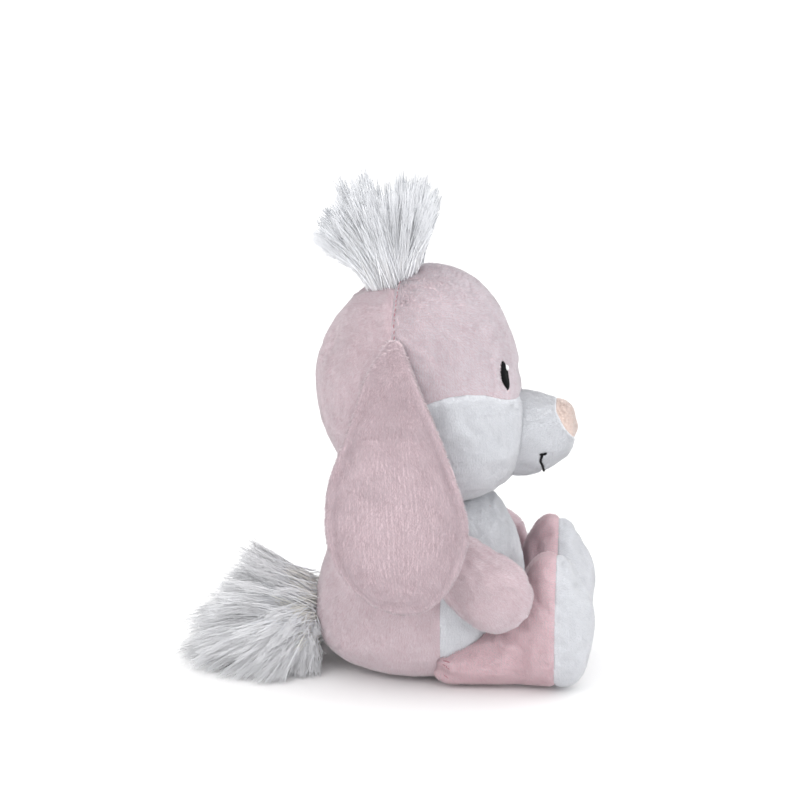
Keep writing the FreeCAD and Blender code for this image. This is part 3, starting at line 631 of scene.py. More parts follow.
def stuffed(name, shape, seam, cap=1.3, fade=None, voxel=4.6):
    """Blows up a coarse cloth of the shape, held along its seams, and lays the swelling and the creases that this
    gives on the fine shape. seam(points): distance to the nearest seam in millimetres."""
    cage = mesh_object(name + "_sim", shape.v, [shape.quads, shape.tris], [])
    rm = cage.modifiers.new("remesh", "REMESH")
    rm.mode = "VOXEL"
    rm.voxel_size = voxel * S
    dg = bpy.context.evaluated_depsgraph_get()
    me = bpy.data.meshes.new_from_object(cage.evaluated_get(dg))
    cage.modifiers.clear()
    old = cage.data
    cage.data = me
    bpy.data.meshes.remove(old)
    n = len(me.vertices)
    rest = np.zeros(n * 3, np.float32)
    me.vertices.foreach_get("co", rest)
    rest = rest.reshape(-1, 3).astype(float)
    hold = cage.vertex_groups.new(name="seams")
    d = seam(rest / S)
    for i in np.nonzero(d < 4.5)[0]:
        hold.add([int(i)], float(np.clip(1.25 - d[i] / 4.5, 0.0, 1.0)), "REPLACE")
    mod = cage.modifiers.new("cloth", "CLOTH")
    c = mod.settings
    c.quality = 6
    c.mass = 0.15
    c.tension_stiffness = c.compression_stiffness = 12.0
    c.shear_stiffness = 4.0
    c.bending_stiffness = 0.15
    c.air_damping = 2.0
    c.use_pressure = True
    c.uniform_pressure_force = 4.0
    c.shrink_min = -0.05
    c.vertex_group_mass = "seams"
    c.effector_weights.gravity = 0.0
    mod.collision_settings.use_collision = False
    mod.point_cache.frame_start, mod.point_cache.frame_end = 1, 20
    scene = bpy.context.scene
    for f in range(1, 21):
        scene.frame_set(f)
    dg = bpy.context.evaluated_depsgraph_get()
    ev = cage.evaluated_get(dg)
    out = np.zeros(n * 3, np.float32)
    ev.data.vertices.foreach_get("co", out)
    move = (out.reshape(-1, 3).astype(float) - rest) / S
    me.calc_loop_triangles()
    tri = np.zeros(len(me.loop_triangles) * 3, np.int32)
    me.loop_triangles.foreach_get("vertices", tri)
    tri = tri.reshape(-1, 3)
    rest = rest / S
    normal = vertex_normals(rest, [tri])
    along = np.einsum("ij,ij->i", move, normal)
    free = d > 4.5
    along = along - np.median(along[free])
    size = np.percentile(np.abs(along), 95)
    print("cloth", name, n, "moved", round(float(np.abs(move).max()), 2), "spread", round(float(size), 2))
    along = cap * np.tanh(along / cap)
    look = BVHTree.FromPolygons([tuple(q) for q in rest], [tuple(map(int, q)) for q in tri])
    own = shape.normals()
    gain = np.zeros(len(shape.v))
    for i, q in enumerate(shape.v):
        at, _, k, _ = look.find_nearest(Vector(q))
        a, b, c3 = (rest[j] for j in tri[k])
        w = bary(np.array(at), a, b, c3)
        gain[i] = along[tri[k][0]] * w[0] + along[tri[k][1]] * w[1] + along[tri[k][2]] * w[2]
    gain *= np.clip((shape.v[:, 2] - 3.0) / 8.0, 0, 1)  # what lies on the floor stays flat
    if fade is not None:
        gain *= fade(shape.v)
    shape.v = shape.v + own * gain[:, None]
    scene.frame_set(1)
    bpy.data.objects.remove(cage)
    bpy.data.meshes.remove(me)
    return shape


def bary(p, a, b, c):
    u, v, w = b - a, c - a, p - a
    uu, uv, vv, wu, wv = u @ u, u @ v, v @ v, w @ u, w @ v
    den = max(uu * vv - uv * uv, 1e-12)
    s1, t1 = (vv * wu - uv * wv) / den, (uu * wv - uv * wu) / den
    return 1 - s1 - t1, s1, t1

# ------------------------------------------------------------------------------------------
# torso
# ------------------------------------------------------------------------------------------
torso = sweep(TORSO, 0.6, 95.6, flat_place, STEP, INSET)
torso.v[:, 2] = np.maximum(torso.v[:, 2], 0.9)
side_y = -12.6
torso = stuffed("torso", torso, lambda p: np.minimum(np.abs(p[:, 1] - side_y), np.abs(p[:, 2] - 2.5) + 2))
p = torso.v
low = np.clip(p[:, 2] / 12.0, 0, 1)
torso.push((groove(p[:, 1] - side_y, 1.1, 1.6) + 0.35 * noise(p, 17.0) + 0.15 * noise(p, 8.0, 3.0)
            + 0.45 * np.sin(p[:, 2] / 2.6) * np.exp(-((p[:, 1] - side_y) / 5.0) ** 2) * noise(p, 6.0, 8.0)
            + groove(p[:, 0], 0.7, 1.5) * (p[:, 1] > 0)) * low)
torso.v[:, 2] = np.maximum(torso.v[:, 2], 0.9)
tree("torso", torso)

head = sweep(HEAD, 88.9, 203.4, flat_place, STEP, INSET, lambda z: 2.0 + np.interp(z, [96, 108, 118, 140, 150, 160], [0, 0.15, 0.42, 0.42, 0.1, 0.0]))
head_y = 12.0


def cheek_z(y):
    return np.interp(y, [-60, -47, -40, -33, -25, -16, -8, 0, 12], [141.0, 142.0, 145.0, 148.2, 149.6, 149.2, 146.8, 143.0, 138.0])


head = stuffed("head", head, lambda p: np.minimum(np.abs(p[:, 1] - head_y), np.where(p[:, 1] < head_y, np.abs(p[:, 2] - cheek_z(p[:, 1])), 50)))
p = head.v
front = 1 / (1 + np.exp((p[:, 1] - head_y) / 2.5))
top = np.clip((p[:, 2] - 160) / 40, 0, 1)
d_cheek = p[:, 2] - cheek_z(p[:, 1])
on_face = (p[:, 1] < head_y - 1)
head.push(groove(p[:, 1] - head_y, 1.5, 1.9) + 1.2 * front * top - 0.8 * (1 - front) * top
          + np.where(on_face, groove(d_cheek, 0.9, 1.5), 0)
          + 0.3 * noise(p, 19.0, 1.0) + 0.14 * noise(p, 8.0, 6.0)
          + 0.5 * np.sin(p[:, 2] / 1.9 + 2 * noise(p, 9.0)) * np.exp(-((p[:, 1] - head_y) / 5.5) ** 2) * np.clip(noise(p, 7.0, 5.0), 0, 1)
          - 2.2 * np.exp(-((p[:, 1] - 13) / 8) ** 2 - (p[:, 0] / 14) ** 2) * (p[:, 2] > 170))
tree("head", head)

muz = sweep(MUZZLE, -33.0, -76.9, muzzle_place, STEP * 0.9, INSET)
muz = stuffed("muzzle", muz, lambda p: np.minimum(np.abs(p[:, 1] + 44), np.where(p[:, 2] < 112, np.abs(p[:, 0]), 50)), 0.8)
p = muz.v
muz.push(0.4 * noise(p, 13.0, 7.0) + 0.15 * noise(p, 6.0, 2.0) + groove(p[:, 0], 0.35, 1.2) * (p[:, 2] < 112))
tree("muzzle", muz)

# arms, legs and ears are made on the rabbit's right and mirrored
rows = np.array(ARM)


def arm_mid(y, pitch):
    """x of the seam along the middle of the right arm"""
    return -np.interp(-y, -(SHOULDER[0] - rows[:, 0] * math.cos(pitch)), rows[:, 1])


arms = {}
for side, pitch in (("right", PITCH), ("left", LEFT_PITCH)):
    arm = sweep(ARM, -12.6, 59.6, arm_place(pitch), STEP, INSET)
    arm = stuffed("arm_" + side, arm, lambda p: np.minimum(np.abs(p[:, 0] - arm_mid(p[:, 1], pitch)), np.abs(p[:, 1] - SHOULDER[0] - 2) + 1), 1.0)
    p = arm.v
    arm.push(0.3 * noise(p, 13.0, 11.0) + 0.15 * noise(p, 6.0, 12.0) + groove(p[:, 0] - arm_mid(p[:, 1], pitch), 0.6, 1.3))
    arms[side] = arm if side == "right" else mirror_shape(arm)
    tree("arm_" + side, arms[side])

leg = sweep(LEG, -7.6, -87.2, leg_place, STEP, INSET)
leg = stuffed("leg", leg, lambda p: np.minimum(np.abs(p[:, 1] + 68), np.where(p[:, 1] > -68, np.minimum(np.abs(p[:, 0] + 30), np.abs(p[:, 1] + 11)), 50)), 1.1)
p = leg.v
leg.push(0.28 * noise(p, 13.0, 21.0) + 0.14 * noise(p, 6.0, 22.0) + groove(p[:, 1] + 68.0, 0.8, 1.5) + groove(p[:, 0] + 30.0, 0.5, 1.3) * (p[:, 1] > -66)
         + 0.5 * np.sin(p[:, 1] / 1.7 + 3 * noise(p, 8.0)) * np.exp(-((p[:, 1] + 16) / 9) ** 2) * np.clip(noise(p, 6.0, 15.0) + 0.3, 0, 1)
         + 0.85 * np.cos(6 * np.arctan2(p[:, 2] - 13, p[:, 0] + 30) + 1.1) * np.exp(-((p[:, 1] + 15) / 7) ** 2))
leg.v[:, 2] = np.maximum(leg.v[:, 2], 1.0)
tree("leg_right", leg)
tree("leg_left", mirror_shape(leg))

ear = sweep(EAR, 177.0, 49.6, ear_place, STEP, -0.9)
erows = np.array(EAR)[::-1]


def ear_mid(z):
    return -np.interp(z, erows[:, 0], erows[:, 1])


def ear_edge(p):
    edge = np.interp(p[:, 2], erows[:, 0], erows[:, 3]) - np.abs(p[:, 1] - np.interp(p[:, 2], erows[:, 0], erows[:, 2]))
    return np.minimum(edge, (p[:, 2] - 49.6) * 0.9)


ear = stuffed("ear", ear, lambda p: np.clip(ear_edge(p), 0, 50) * 0.8, 0.8, lambda p: np.clip((ear_edge(p) - 2.5) / 7.0, 0, 1) * np.clip((166 - p[:, 2]) / 18.0, 0, 1), 4.0)
p = ear.v
rim = np.abs(p[:, 0] - ear_mid(p[:, 2]))
outer = p[:, 0] < ear_mid(p[:, 2])
bump = 1.6 * np.exp(-((p[:, 1] - 18) / 9) ** 2 - ((p[:, 2] - 117) / 6) ** 2) - 1.0 * np.exp(-((p[:, 1] - 20) / 10) ** 2 - ((p[:, 2] - 103) / 7) ** 2)
edge = np.interp(p[:, 2], erows[:, 0], erows[:, 3]) - np.abs(p[:, 1] - np.interp(p[:, 2], erows[:, 0], erows[:, 2]))
edge = np.minimum(edge, (p[:, 2] - 49.6) * 0.9)
ear.push(np.where(outer, bump, 0) + 0.7 * noise(p, 19.0, 31.0) + 0.25 * noise(p, 7.0, 32.0) + groove(rim, 0.4, 0.6)
         + np.where(outer, -0.6 * np.exp(-((edge - 5.2) / 1.7) ** 2) * (0.7 + 0.5 * noise(p, 15.0, 3.3)) + 0.4 * np.exp(-((edge - 2.4) / 1.6) ** 2), 0) * np.clip((168 - p[:, 2]) / 20, 0, 1))
tree("ear_right", ear)
tree("ear_left", mirror_shape(ear))

# ------------------------------------------------------------------------------------------
# panels
# ------------------------------------------------------------------------------------------
Y_T, Y_H = by_y(side_y), by_y(head_y)
CH = by_z(cheek_z)
XM = by_x(lambda z: np.zeros(len(z)), 2)
BIG_DOWN = by_z(lambda y: np.full(len(y), 1.6))
torso_back = panel("torso_back_cloth", torso, [(*Y_T, True), (*BIG_DOWN, True)], "torso", M_PINK_SHADED, ["torso_back", "torso_stuffing"])
belly = panel("belly_cloth", torso, [(*Y_T, False), (*BIG_DOWN, True)], "torso", M_WHITE_SHADED, ["belly_panel"])
seat = panel("seat_cloth", torso, [(*BIG_DOWN, False)], "torso", M_PINK_SHADED, ["seat_panel"])

head_back = panel("head_back_cloth", head, [(*Y_H, True)], "head", M_PINK_SHADED, ["head_back", "head_stuffing"])
forehead = panel("forehead_cloth", head, [(*Y_H, False), (*CH, True)], "head", M_PINK_SHADED, ["forehead"])
cheek_r = panel("cheek_right_cloth", head, [(*Y_H, False), (*CH, False), (*XM, False)], "head", M_WHITE_SHADED, ["cheek_right"])
cheek_l = panel("cheek_left_cloth", head, [(*Y_H, False), (*CH, False), (*XM, True)], "head", M_WHITE_SHADED, ["cheek_left"])
muzzle = panel("muzzle_cloth", muz, [(*by_y(-38.0), False)], "head", M_WHITE_SHADED, ["muzzle", "muzzle_stuffing"])

limbs = {}
for side, flip in (("right", False), ("left", True)):
    s_arm, s_leg, s_ear = arms[side], (mirror_shape(leg) if flip else leg), (mirror_shape(ear) if flip else ear)
    sg = -1.0 if flip else 1.0
    f_arm = (lambda y, sg=sg, pitch=LEFT_PITCH if flip else PITCH: sg * arm_mid(y, pitch))
    f_leg = (lambda y, sg=sg: np.full(len(y), -30.0 * sg))
    f_ear = (lambda z, sg=sg: sg * ear_mid(z))
    inner_up = not flip  # on the right side larger x is the inner half
    A, L, E = by_x(f_arm, 1), by_x(f_leg, 1), by_x(f_ear, 2)
    sole_cut = by_y(-68.0)
    b_arm, b_leg, b_ear = "arm_" + side, "leg_" + side, "ear_" + side
    limbs[side] = dict(
        arm_inner=panel("arm_%s_inner_cloth" % side, s_arm, [(*A, inner_up)], b_arm, M_PINK_SHADED, ["arm_%s_inner" % side]),
        arm_outer=panel("arm_%s_outer_cloth" % side, s_arm, [(*A, not inner_up)], b_arm, M_PINK_SHADED, ["arm_%s_outer" % side, "arm_%s_stuffing" % side]),
        leg_inner=panel("leg_%s_inner_cloth" % side, s_leg, [(*sole_cut, True), (*L, inner_up)], b_leg, M_PINK_SHADED, ["leg_%s_inner" % side]),
        leg_outer=panel("leg_%s_outer_cloth" % side, s_leg, [(*sole_cut, True), (*L, not inner_up)], b_leg, M_PINK_SHADED, ["leg_%s_outer" % side, "leg_%s_stuffing" % side]),
        sole=panel("leg_%s_sole_cloth" % side, s_leg, [(*sole_cut, False)], b_leg, M_WHITE_SHADED, ["leg_%s_sole" % side]),
        ear_lining=panel("ear_%s_lining_cloth" % side, s_ear, [(*E, inner_up)], b_ear, M_PINK_SHADED, ["ear_%s_lining" % side], 0.9),
        ear_outer=panel("ear_%s_outer_cloth" % side, s_ear, [(*E, not inner_up)], b_ear, M_PINK_SHADED, ["ear_%s_outer" % side, "ear_%s_wadding" % side], 0.9),
    )


# ------------------------------------------------------------------------------------------
# pile on each panel
# ------------------------------------------------------------------------------------------
def brushed(x, y, z):
    """the pile lies towards (x, y, z), as far as the cloth lets it"""
    return lambda p, n: np.tile([float(x), float(y), float(z)], (len(p), 1))


nap_head = brushed(0, -0.12, -1)
nap_back = brushed(0, 0.1, -1)
nap_limb = brushed(0, -0.85, -0.5)
nap_muzzle = brushed(0, 1, -0.2)
nap_forehead = brushed(0, -0.6, -1)
nap_nape = brushed(0, 0.35, -1)
nap_nose = brushed(0, 0.3, -1)
nap_sole = brushed(0, -0.6, -1)


DENS = 3.4
EX, EZ, ET, EW = 21.6, 155.1, 7.4, 2.45


def eye_test(sign):
    def f(p):
        x, z = (p[:, 0] - sign * EX), (p[:, 2] - EZ)
        r = np.sqrt((x / EW) ** 2 + (np.abs(z) / ET) ** 1.55)
        return np.where((p[:, 1] < -25), (1 - r) * EW, -5.0)

    return f


def eyes_clear(p):
    return np.maximum(eye_test(1)(p), eye_test(-1)(p)) + 0.15


pile("torso_back_pile", torso_back, "torso", P_PINK, DENS, 1.7, nap_back, 11, hide=("leg_right", "leg_left", "arm_right", "arm_left", "head"), seams=lambda p: p[:, 1] - side_y)
pile("belly_pile", belly, "torso", P_WHITE, DENS, 1.6, nap_back, 12, hide=("leg_right", "leg_left", "arm_right", "arm_left", "head"), seams=lambda p: p[:, 1] - side_y)
pile("head_back_pile", head_back, "head", P_PINK, DENS, 1.6, nap_nape, 13, hide=("torso",), seams=lambda p: p[:, 1] - head_y)
pile("forehead_pile", forehead, "head", P_BROW_HIGHLIGHT, DENS, 1.55, nap_forehead, 14, hide=("muzzle",), clear=eyes_clear, seams=lambda p: np.minimum(np.abs(p[:, 1] - head_y), np.abs(p[:, 2] - cheek_z(p[:, 1]))))
pile("cheek_right_pile", cheek_r, "head", P_WHITE, DENS, 1.55, nap_head, 15, hide=("muzzle", "torso"), seams=lambda p: p[:, 2] - cheek_z(p[:, 1]))
pile("cheek_left_pile", cheek_l, "head", P_WHITE, DENS, 1.55, nap_head, 16, hide=("muzzle", "torso"), seams=lambda p: p[:, 2] - cheek_z(p[:, 1]))
for i, side in enumerate(("right", "left")):
    L = limbs[side]
    pile("arm_%s_outer_pile" % side, L["arm_outer"], "arm_" + side, P_PINK, DENS, 1.7, nap_limb, 21 + i, hide=("torso",))
    pile("arm_%s_inner_pile" % side, L["arm_inner"], "arm_" + side, P_PINK, DENS, 1.7, nap_limb, 23 + i, hide=("torso",))
    pile("leg_%s_outer_pile" % side, L["leg_outer"], "leg_" + side, P_LEG_SHADE, DENS, 1.7, nap_limb, 25 + i, hide=("torso",), seams=lambda p: p[:, 1] + 68)
    pile("leg_%s_inner_pile" % side, L["leg_inner"], "leg_" + side, P_LEG_SHADE, DENS, 1.7, nap_limb, 27 + i, hide=("torso",), seams=lambda p: p[:, 1] + 68)
    pile("leg_%s_sole_pile" % side, L["sole"], "leg_" + side, P_WHITE, DENS, 1.5, nap_sole, 29 + i, seams=lambda p: p[:, 1] + 68)
    pile("ear_%s_outer_pile" % side, L["ear_outer"], "ear_" + side, P_EAR_SHADED, DENS, 1.75, down, 31 + i)
    pile("ear_%s_lining_pile" % side, L["ear_lining"], "ear_" + side, P_PINK, DENS * 0.9, 1.75, down, 33 + i)

# ------------------------------------------------------------------------------------------
# nose patch: a peach plush applique wrapped on the muzzle
# ------------------------------------------------------------------------------------------
NOSE = np.array([(0, 120.6), (4.5, 120.9), (8.5, 121.7), (13.4, 124.6), (15.7, 128.2), (15.5, 132.0), (13.0, 135.6), (9.0, 138.1), (4.0, 139.5), (0, 139.8)])
NOSE = np.vstack([NOSE, NOSE[-2:0:-1] * np.array([-1, 1])])


def polygon_depth(x, z, poly):
    """distance to the polygon's edge, positive inside"""
    p = np.column_stack([x, z])
    q = np.roll(poly, -1, 0)
    best = np.full(len(p), 1e9)
    inside = np.zeros(len(p), bool)
    for a, b in zip(poly, q):
        ab = b - a
        t = np.clip(((p - a) @ ab) / (ab @ ab), 0, 1)
        best = np.minimum(best, np.linalg.norm(p - a - t[:, None] * ab, axis=1))
        cross = (a[1] > p[:, 1]) != (b[1] > p[:, 1])
        xs = a[0] + (p[:, 1] - a[1]) / np.where(abs(b[1] - a[1]) < 1e-9, 1e-9, b[1] - a[1]) * ab[0]
        inside ^= cross & (p[:, 0] < xs)
    return np.where(inside, best, -best)


def cover(name, shape, test, body, materials, nodes, raise_by, edge, thick, ridges=None):
    """a patch that lies on a shape: the part of the surface where test(points) > 0, lifted and rounded at its edge.
    The surface is cut exactly along the test's zero line."""
    bm = bmesh.new()
    n_all = shape.normals()
    vals = test(shape.v)
    keep = np.zeros(len(shape.v), bool)
    keep[vals > -3.0] = True
    ids = {}
    for i in np.nonzero(keep)[0]:
        ids[i] = bm.verts.new(shape.v[i])
    for f in list(shape.quads) + list(shape.tris):
        if all(int(k) in ids for k in f):
            bm.faces.new([ids[int(k)] for k in f])
    for _ in range(2):
        bmesh.ops.subdivide_edges(bm, edges=list(bm.edges), cuts=1, use_grid_fill=True)
    bm.verts.ensure_lookup_table()
    co = np.array([x.co for x in bm.verts])
    val = test(co)
    # cut faces along the zero line by splitting the crossed edges
    bm.verts.index_update()
    crossed = [e for e in bm.edges if val[e.verts[0].index] * val[e.verts[1].index] < 0]
    new = []
    for e in crossed:
        a, b = e.verts
        va, vb = val[a.index], val[b.index]
        f = va / (va - vb)
        _, nv = bmesh.utils.edge_split(e, a, f)
        new.append(nv)
    made = set(new)
    bm.verts.index_update()
    bm.faces.ensure_lookup_table()
    for f in list(bm.faces):
        vs = [x for x in f.verts if x in made]
        if len(vs) == 2:
            try:
                bmesh.utils.face_split(f, vs[0], vs[1])
            except ValueError:
                pass
    gone = []
    for f in bm.faces:
        c = np.array([f.calc_center_median()])
        if test(c)[0] < 0:
            gone.append(f)
    bmesh.ops.delete(bm, geom=gone, context="FACES")
    bmesh.ops.delete(bm, geom=[x for x in bm.verts if not x.link_faces], context="VERTS")
    bmesh.ops.triangulate(bm, faces=[f for f in bm.faces if len(f.verts) > 4])
    bm.normal_update()
    co = np.array([x.co for x in bm.verts])
    nn = np.array([x.normal for x in bm.verts])
    val = np.clip(test(co), 0, None)
    lift = raise_by * np.sqrt(np.clip(1 - (1 - np.clip(val / edge, 0, 1)) ** 2, 0, 1))
    if ridges is not None:
        lift = lift + ridges(co, val)
    co = co + nn * lift[:, None]
    bm.verts.index_update()
    q = np.array([[x.index for x in f.verts] for f in bm.faces if len(f.verts) == 4]).reshape(-1, 4).astype(int)
    t = np.array([[x.index for x in f.verts] for f in bm.faces if len(f.verts) == 3]).reshape(-1, 3).astype(int)
    bm.free()
    o = mesh_object(name, co, [f for f in (q, t) if len(f)], materials)
    sol = o.modifiers.new("cloth", "SOLIDIFY")
    sol.thickness = thick * S
    sol.offset = -1
    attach(o, body)
    if nodes:
        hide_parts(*nodes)
    return o


def nose_test(p):
    d = polygon_depth(p[:, 0], p[:, 2], NOSE)
    back = np.interp(p[:, 2], [121.0, 123.7, 128.2, 131.9, 135.0, 140.0], [-75.0, -73.6, -70.4, -68.2, -66.3, -66.0]) - p[:, 1]
    return np.where(p[:, 1] < -58, np.minimum(d, back), -5.0)


nose = cover("nose_cloth", muz, nose_test, "head", [M_PEACH], ["nose_patch"], 0.5, 1.2, 0.9)
pile("nose_pile", nose, "head", P_PEACH, 3.4, 1.2, nap_nose, 41, width=0.46, seams=lambda p: nose_test(p))

# ------------------------------------------------------------------------------------------
# embroidered eyes and mouth
# ------------------------------------------------------------------------------------------
def glint_test(sign):
    def f(p):
        x, z = (p[:, 0] - sign * (EX - 0.9)), (p[:, 2] - (EZ + 3.6))
        r = np.sqrt((x / 1.15) ** 2 + (z / 1.8) ** 2)
        return np.where((p[:, 1] < -25), (1 - r) * 1.15, -5.0)

    return f


def satin_ridges(amount, pitch):
    return lambda co, val: amount * np.sin(2 * math.pi * (co[:, 2] + 0.25 * co[:, 0]) / pitch) * np.clip(val / 0.6, 0, 1)


for sign, side in ((-1, "right"), (1, "left")):
    cover("eye_%s_satin" % side, head, eye_test(sign), "head", [M_BLACK], ["eye_" + side], 2.1, 1.3, 0.8, satin_ridges(0.06, 0.8))
    cover("eye_%s_glint" % side, head, glint_test(sign), "head", [M_GLINT], ["eye_glint_" + side], 2.75, 0.7, 0.5, satin_ridges(0.05, 0.7))


def on_surface(points, name, lift, direction=(0, 1, 0)):
    """drops points onto the nearest place of a shape and lifts them a little along its normal; direction is not used"""
    t = solid_trees[name]
    out = []
    for q in points:
        hit = t.find_nearest(Vector(q))
        out.append(np.array(hit[0]) + np.array(hit[1]) * lift)
    return np.array(out)


def resample(path, step):
    path = np.asarray(path, float)
    t = np.concatenate([[0], np.cumsum(np.linalg.norm(np.diff(path, axis=0), axis=1))])
    f = spline(t, path)
    n = max(3, int(t[-1] / step))
    return f(np.linspace(0, t[-1], n))


def backstitch(path, each, overlap, radius_fn=None):
    """a line of stitches, each a separate short length of thread that overlaps the next"""
    t = np.concatenate([[0], np.cumsum(np.linalg.norm(np.diff(path, axis=0), axis=1))])
    total = t[-1]
    n = max(1, int(round(total / each)))
    out = []
    for i in range(n):
        a, b = max(0, (i / n) * total - overlap), min(total, ((i + 1) / n) * total + overlap)
        tt = np.linspace(a, b, 9)
        out.append(np.column_stack([np.interp(tt, t, path[:, k]) for k in range(3)]))
    return out


smile = [(-20.9, -60.6, 115.9), (-20.7, -60.0, 113.9), (-19.4, -59.7, 111.6), (-17.1, -60.4, 109.2), (-14.6, -60.8, 107.0), (-8.0, -60.8, 104.2), (0, -61.0, 103.2)]
smile = smile + [(-x, y, z) for x, y, z in smile[-2::-1]]
smile = on_surface(resample(smile, 0.6), "muzzle", 0.75)
paths = backstitch(smile, 2.6, 0.5)
for sg in (-1, 1):
    bar = on_surface(resample([(sg * 21.4, -59.0, 115.9), (sg * 21.0, -60.8, 115.9), (sg * 20.7, -62.6, 116.5)], 0.5), "muzzle", 0.8)
    paths += backstitch(bar, 2.4, 0.4)
mouth = thread("mouth_satin", paths, 0.6, "head", M_BLACK, 8)
mouth_points = np.vstack(paths)


def muzzle_clear(p):
    out = nose_test(p) + 0.1
    low = p[:, 2] < 120
    d = np.full(len(p), 9.0)
    d[low] = np.sqrt(((p[low, None, :] - mouth_points[None, ::2]) ** 2).sum(2).min(1))
    return np.maximum(out, 1.0 - d)


pile("muzzle_pile", muzzle, "head", P_WHITE, DENS, 1.45, nap_muzzle, 17, hide=("head",), clear=muzzle_clear)
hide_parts("mouth_stitch")

# sewing stitches that show in the head's side seam, and the ladder stitch at the neck
paths = []
rng = np.random.default_rng(5)
for sg in (-1, 1):
    for ang in np.arange(14, 72, 3.3):
        q = []
        for k in (-1.1, 0.0, 1.1):
            a = math.radians(ang + k)
            q.append((sg * 48 * math.sin(a), head_y + 0.35 * math.sin(ang * 2.3) + 0.25 * k, 146 + 57 * math.cos(a)))
        paths.append(on_surface(resample(q, 0.5), "head", 0.75))
seam_thread = thread("side_seam_thread", paths, 0.23, "head", M_THREAD)
for sg, side in ((-1, "right"), (1, "left")):  # where the hip is sewn to the body
    paths = []
    for k in range(14):
        a = 2 * math.pi * (k + 0.4 * rng.random()) / 14
        q = [(sg * 30 + 13.0 * math.cos(a + 0.1 * j), -14.5 - 2.0 * j, 13.0 + 13.0 * math.sin(a + 0.1 * j)) for j in (-1, 0, 1)]
        hip = on_surface(resample(q, 0.5), "leg_" + side, 0.3)
        if depth_inside(hip, "torso").max() < 0.8 and hip[:, 2].min() > 4.0:
            paths.append(hip)
    print("hip stitches", side, len(paths))
    if paths:
        hip_thread = thread("hip_%s_thread" % side, paths, 0.3, "leg_" + side, M_THREAD)
paths = []
for k in range(52):
    a = 2 * math.pi * (k + 0.2 * rng.random()) / 52
    q = []
    for dz in (-1.4, 0, 1.4):
        q.append((33.0 * math.cos(a), -3 + 36.5 * math.sin(a), 88.4 + dz))
    paths.append(on_surface(resample(q, 0.6), "torso", -0.25))
neck_thread = thread("neck_ladder_thread", paths, 0.26, "torso", M_THREAD)
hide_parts("neck_seam")

# the wad of filling in the neck, seen only if the head is tipped back
v, n_, t_ = read(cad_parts["neck_core"])
wad = sweep([(77, 0, 9.5, 9.5), (82, 0, 12.6, 12.6), (88.6, 0, 13.6, 13.6), (95, 0, 12.6, 12.6), (100, 0, 9.5, 9.5)], 75.2, 102.0, lambda s, c, p, q: np.column_stack([q, -2.5 + p, s]), 1.4)
wad.push(0.35 * noise(wad.v, 3.0) - 0.3)
neck = mesh_object("neck_wad", wad.v, [wad.quads, wad.tris], [M_WHITE_SHADED])
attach(neck, "neck")
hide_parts("neck_core")


# ------------------------------------------------------------------------------------------
# long fur: tuft on the crown and tail
# ------------------------------------------------------------------------------------------
def locks(rng, specs, base_fn, per, spread, tip_spread, bend, width):
    """specs: tips (x, y, z) of the locks; base_fn(rng, tip) gives each lock's root centre"""
    R, M, T, W = [], [], [], []
    for tip in specs:
        base = base_fn(rng, tip)
        n = per
        rr = base + rng.normal(size=(n, 3)) * spread
        k = rng.random(n)
        reach = np.where(rng.random(n) < 0.12, 0.55 + 0.5 * rng.random(n), 0.80 + 0.24 * rng.random(n))
        tt = tip + rng.normal(size=(n, 3)) * tip_spread
        tt = rr + (tt - rr) * reach[:, None]
        mm = rr + (tt - rr) * 0.5 + bend(rr, tt) + rng.normal(size=(n, 3)) * 0.7
        R.append(rr), M.append(mm), T.append(tt)
        W.append(width * (0.7 + 0.6 * rng.random(n)))
    return np.vstack(R), np.vstack(M), np.vstack(T), np.concatenate(W)


rng = np.random.default_rng(91)
# where the tips of the locks are, seen from the side
side_tips = [(51.9, 219.4), (51.0, 222.0), (49.5, 225.5), (47.9, 229.0), (45.0, 230.5), (43.0, 226.0), (41.0, 247.5), (40.2, 241.0), (37.6, 236.0), (35.5, 233.0), (38.0, 229.0), (33.5, 247.0),
             (30.9, 249.0), (28.0, 248.0), (25.5, 246.5), (22.5, 243.5), (20.2, 240.0), (18.3, 236.5), (15.5, 234.0), (17.0, 245.5), (13.8, 243.0), (11.8, 246.5), (9.6, 247.0), (7.5, 244.0),
             (5.2, 247.0), (2.6, 248.8), (0.6, 244.5), (-2.0, 246.5), (-4.1, 243.5), (-6.0, 241.0), (-7.9, 238.6), (-6.8, 233.0), (-4.6, 224.0), (46.5, 218.0), (42.0, 219.0), (34.0, 238.0), (6.0, 236.0), (26.0, 236.0)]
specs = []
for y, z in side_tips:
    for _ in range(7):
        x = rng.uniform(-1, 1)
        reach = math.sqrt(1 - 0.35 * x * x)
        zz = 196 + (z - 196) * reach * rng.uniform(0.93, 1.0)
        specs.append((24 * x, 12.5 + (y - 12.5) * (0.95 + 0.05 * rng.random()), zz))
for _ in range(90):  # shorter hair that fills the middle
    k = rng.integers(len(side_tips))
    y, z = side_tips[k]
    f = rng.uniform(0.45, 0.85)
    specs.append((22 * f * rng.uniform(-1, 1), 13 + (y - 13) * f + rng.normal() * 2, 203 + (z - 203) * f))


def tuft_base(rng, tip):
    u = np.array([tip[0] / 26.0, (tip[1] - 15) / 36.0])
    x = 6.5 * np.clip(u[0], -1, 1) + rng.normal() * 0.8
    y = 12.0 + 8.0 * np.clip(u[1] * 1.2, -1, 1) + rng.normal() * 0.8
    hit = solid_trees["head"].find_nearest(Vector((x, y, 205.0)))
    # straight down onto the crown
    r = solid_trees["head"].ray_cast(Vector((x, y, 230.0)), Vector((0, 0, -1)))
    z = r[0].z if r[0] is not None else hit[0].z
    return np.array([x, y, z - 0.5])


def tuft_bend(rr, tt):
    d = tt - rr
    out = np.zeros_like(d)
    out[:, 2] = 0.16 * np.linalg.norm(d[:, :2], axis=1)
    return out


R, M, T, W = locks(rng, specs, tuft_base, int(54 * FINE), (1.7, 1.9, 0.5), (1.0, 1.0, 1.8), tuft_bend, 0.35)


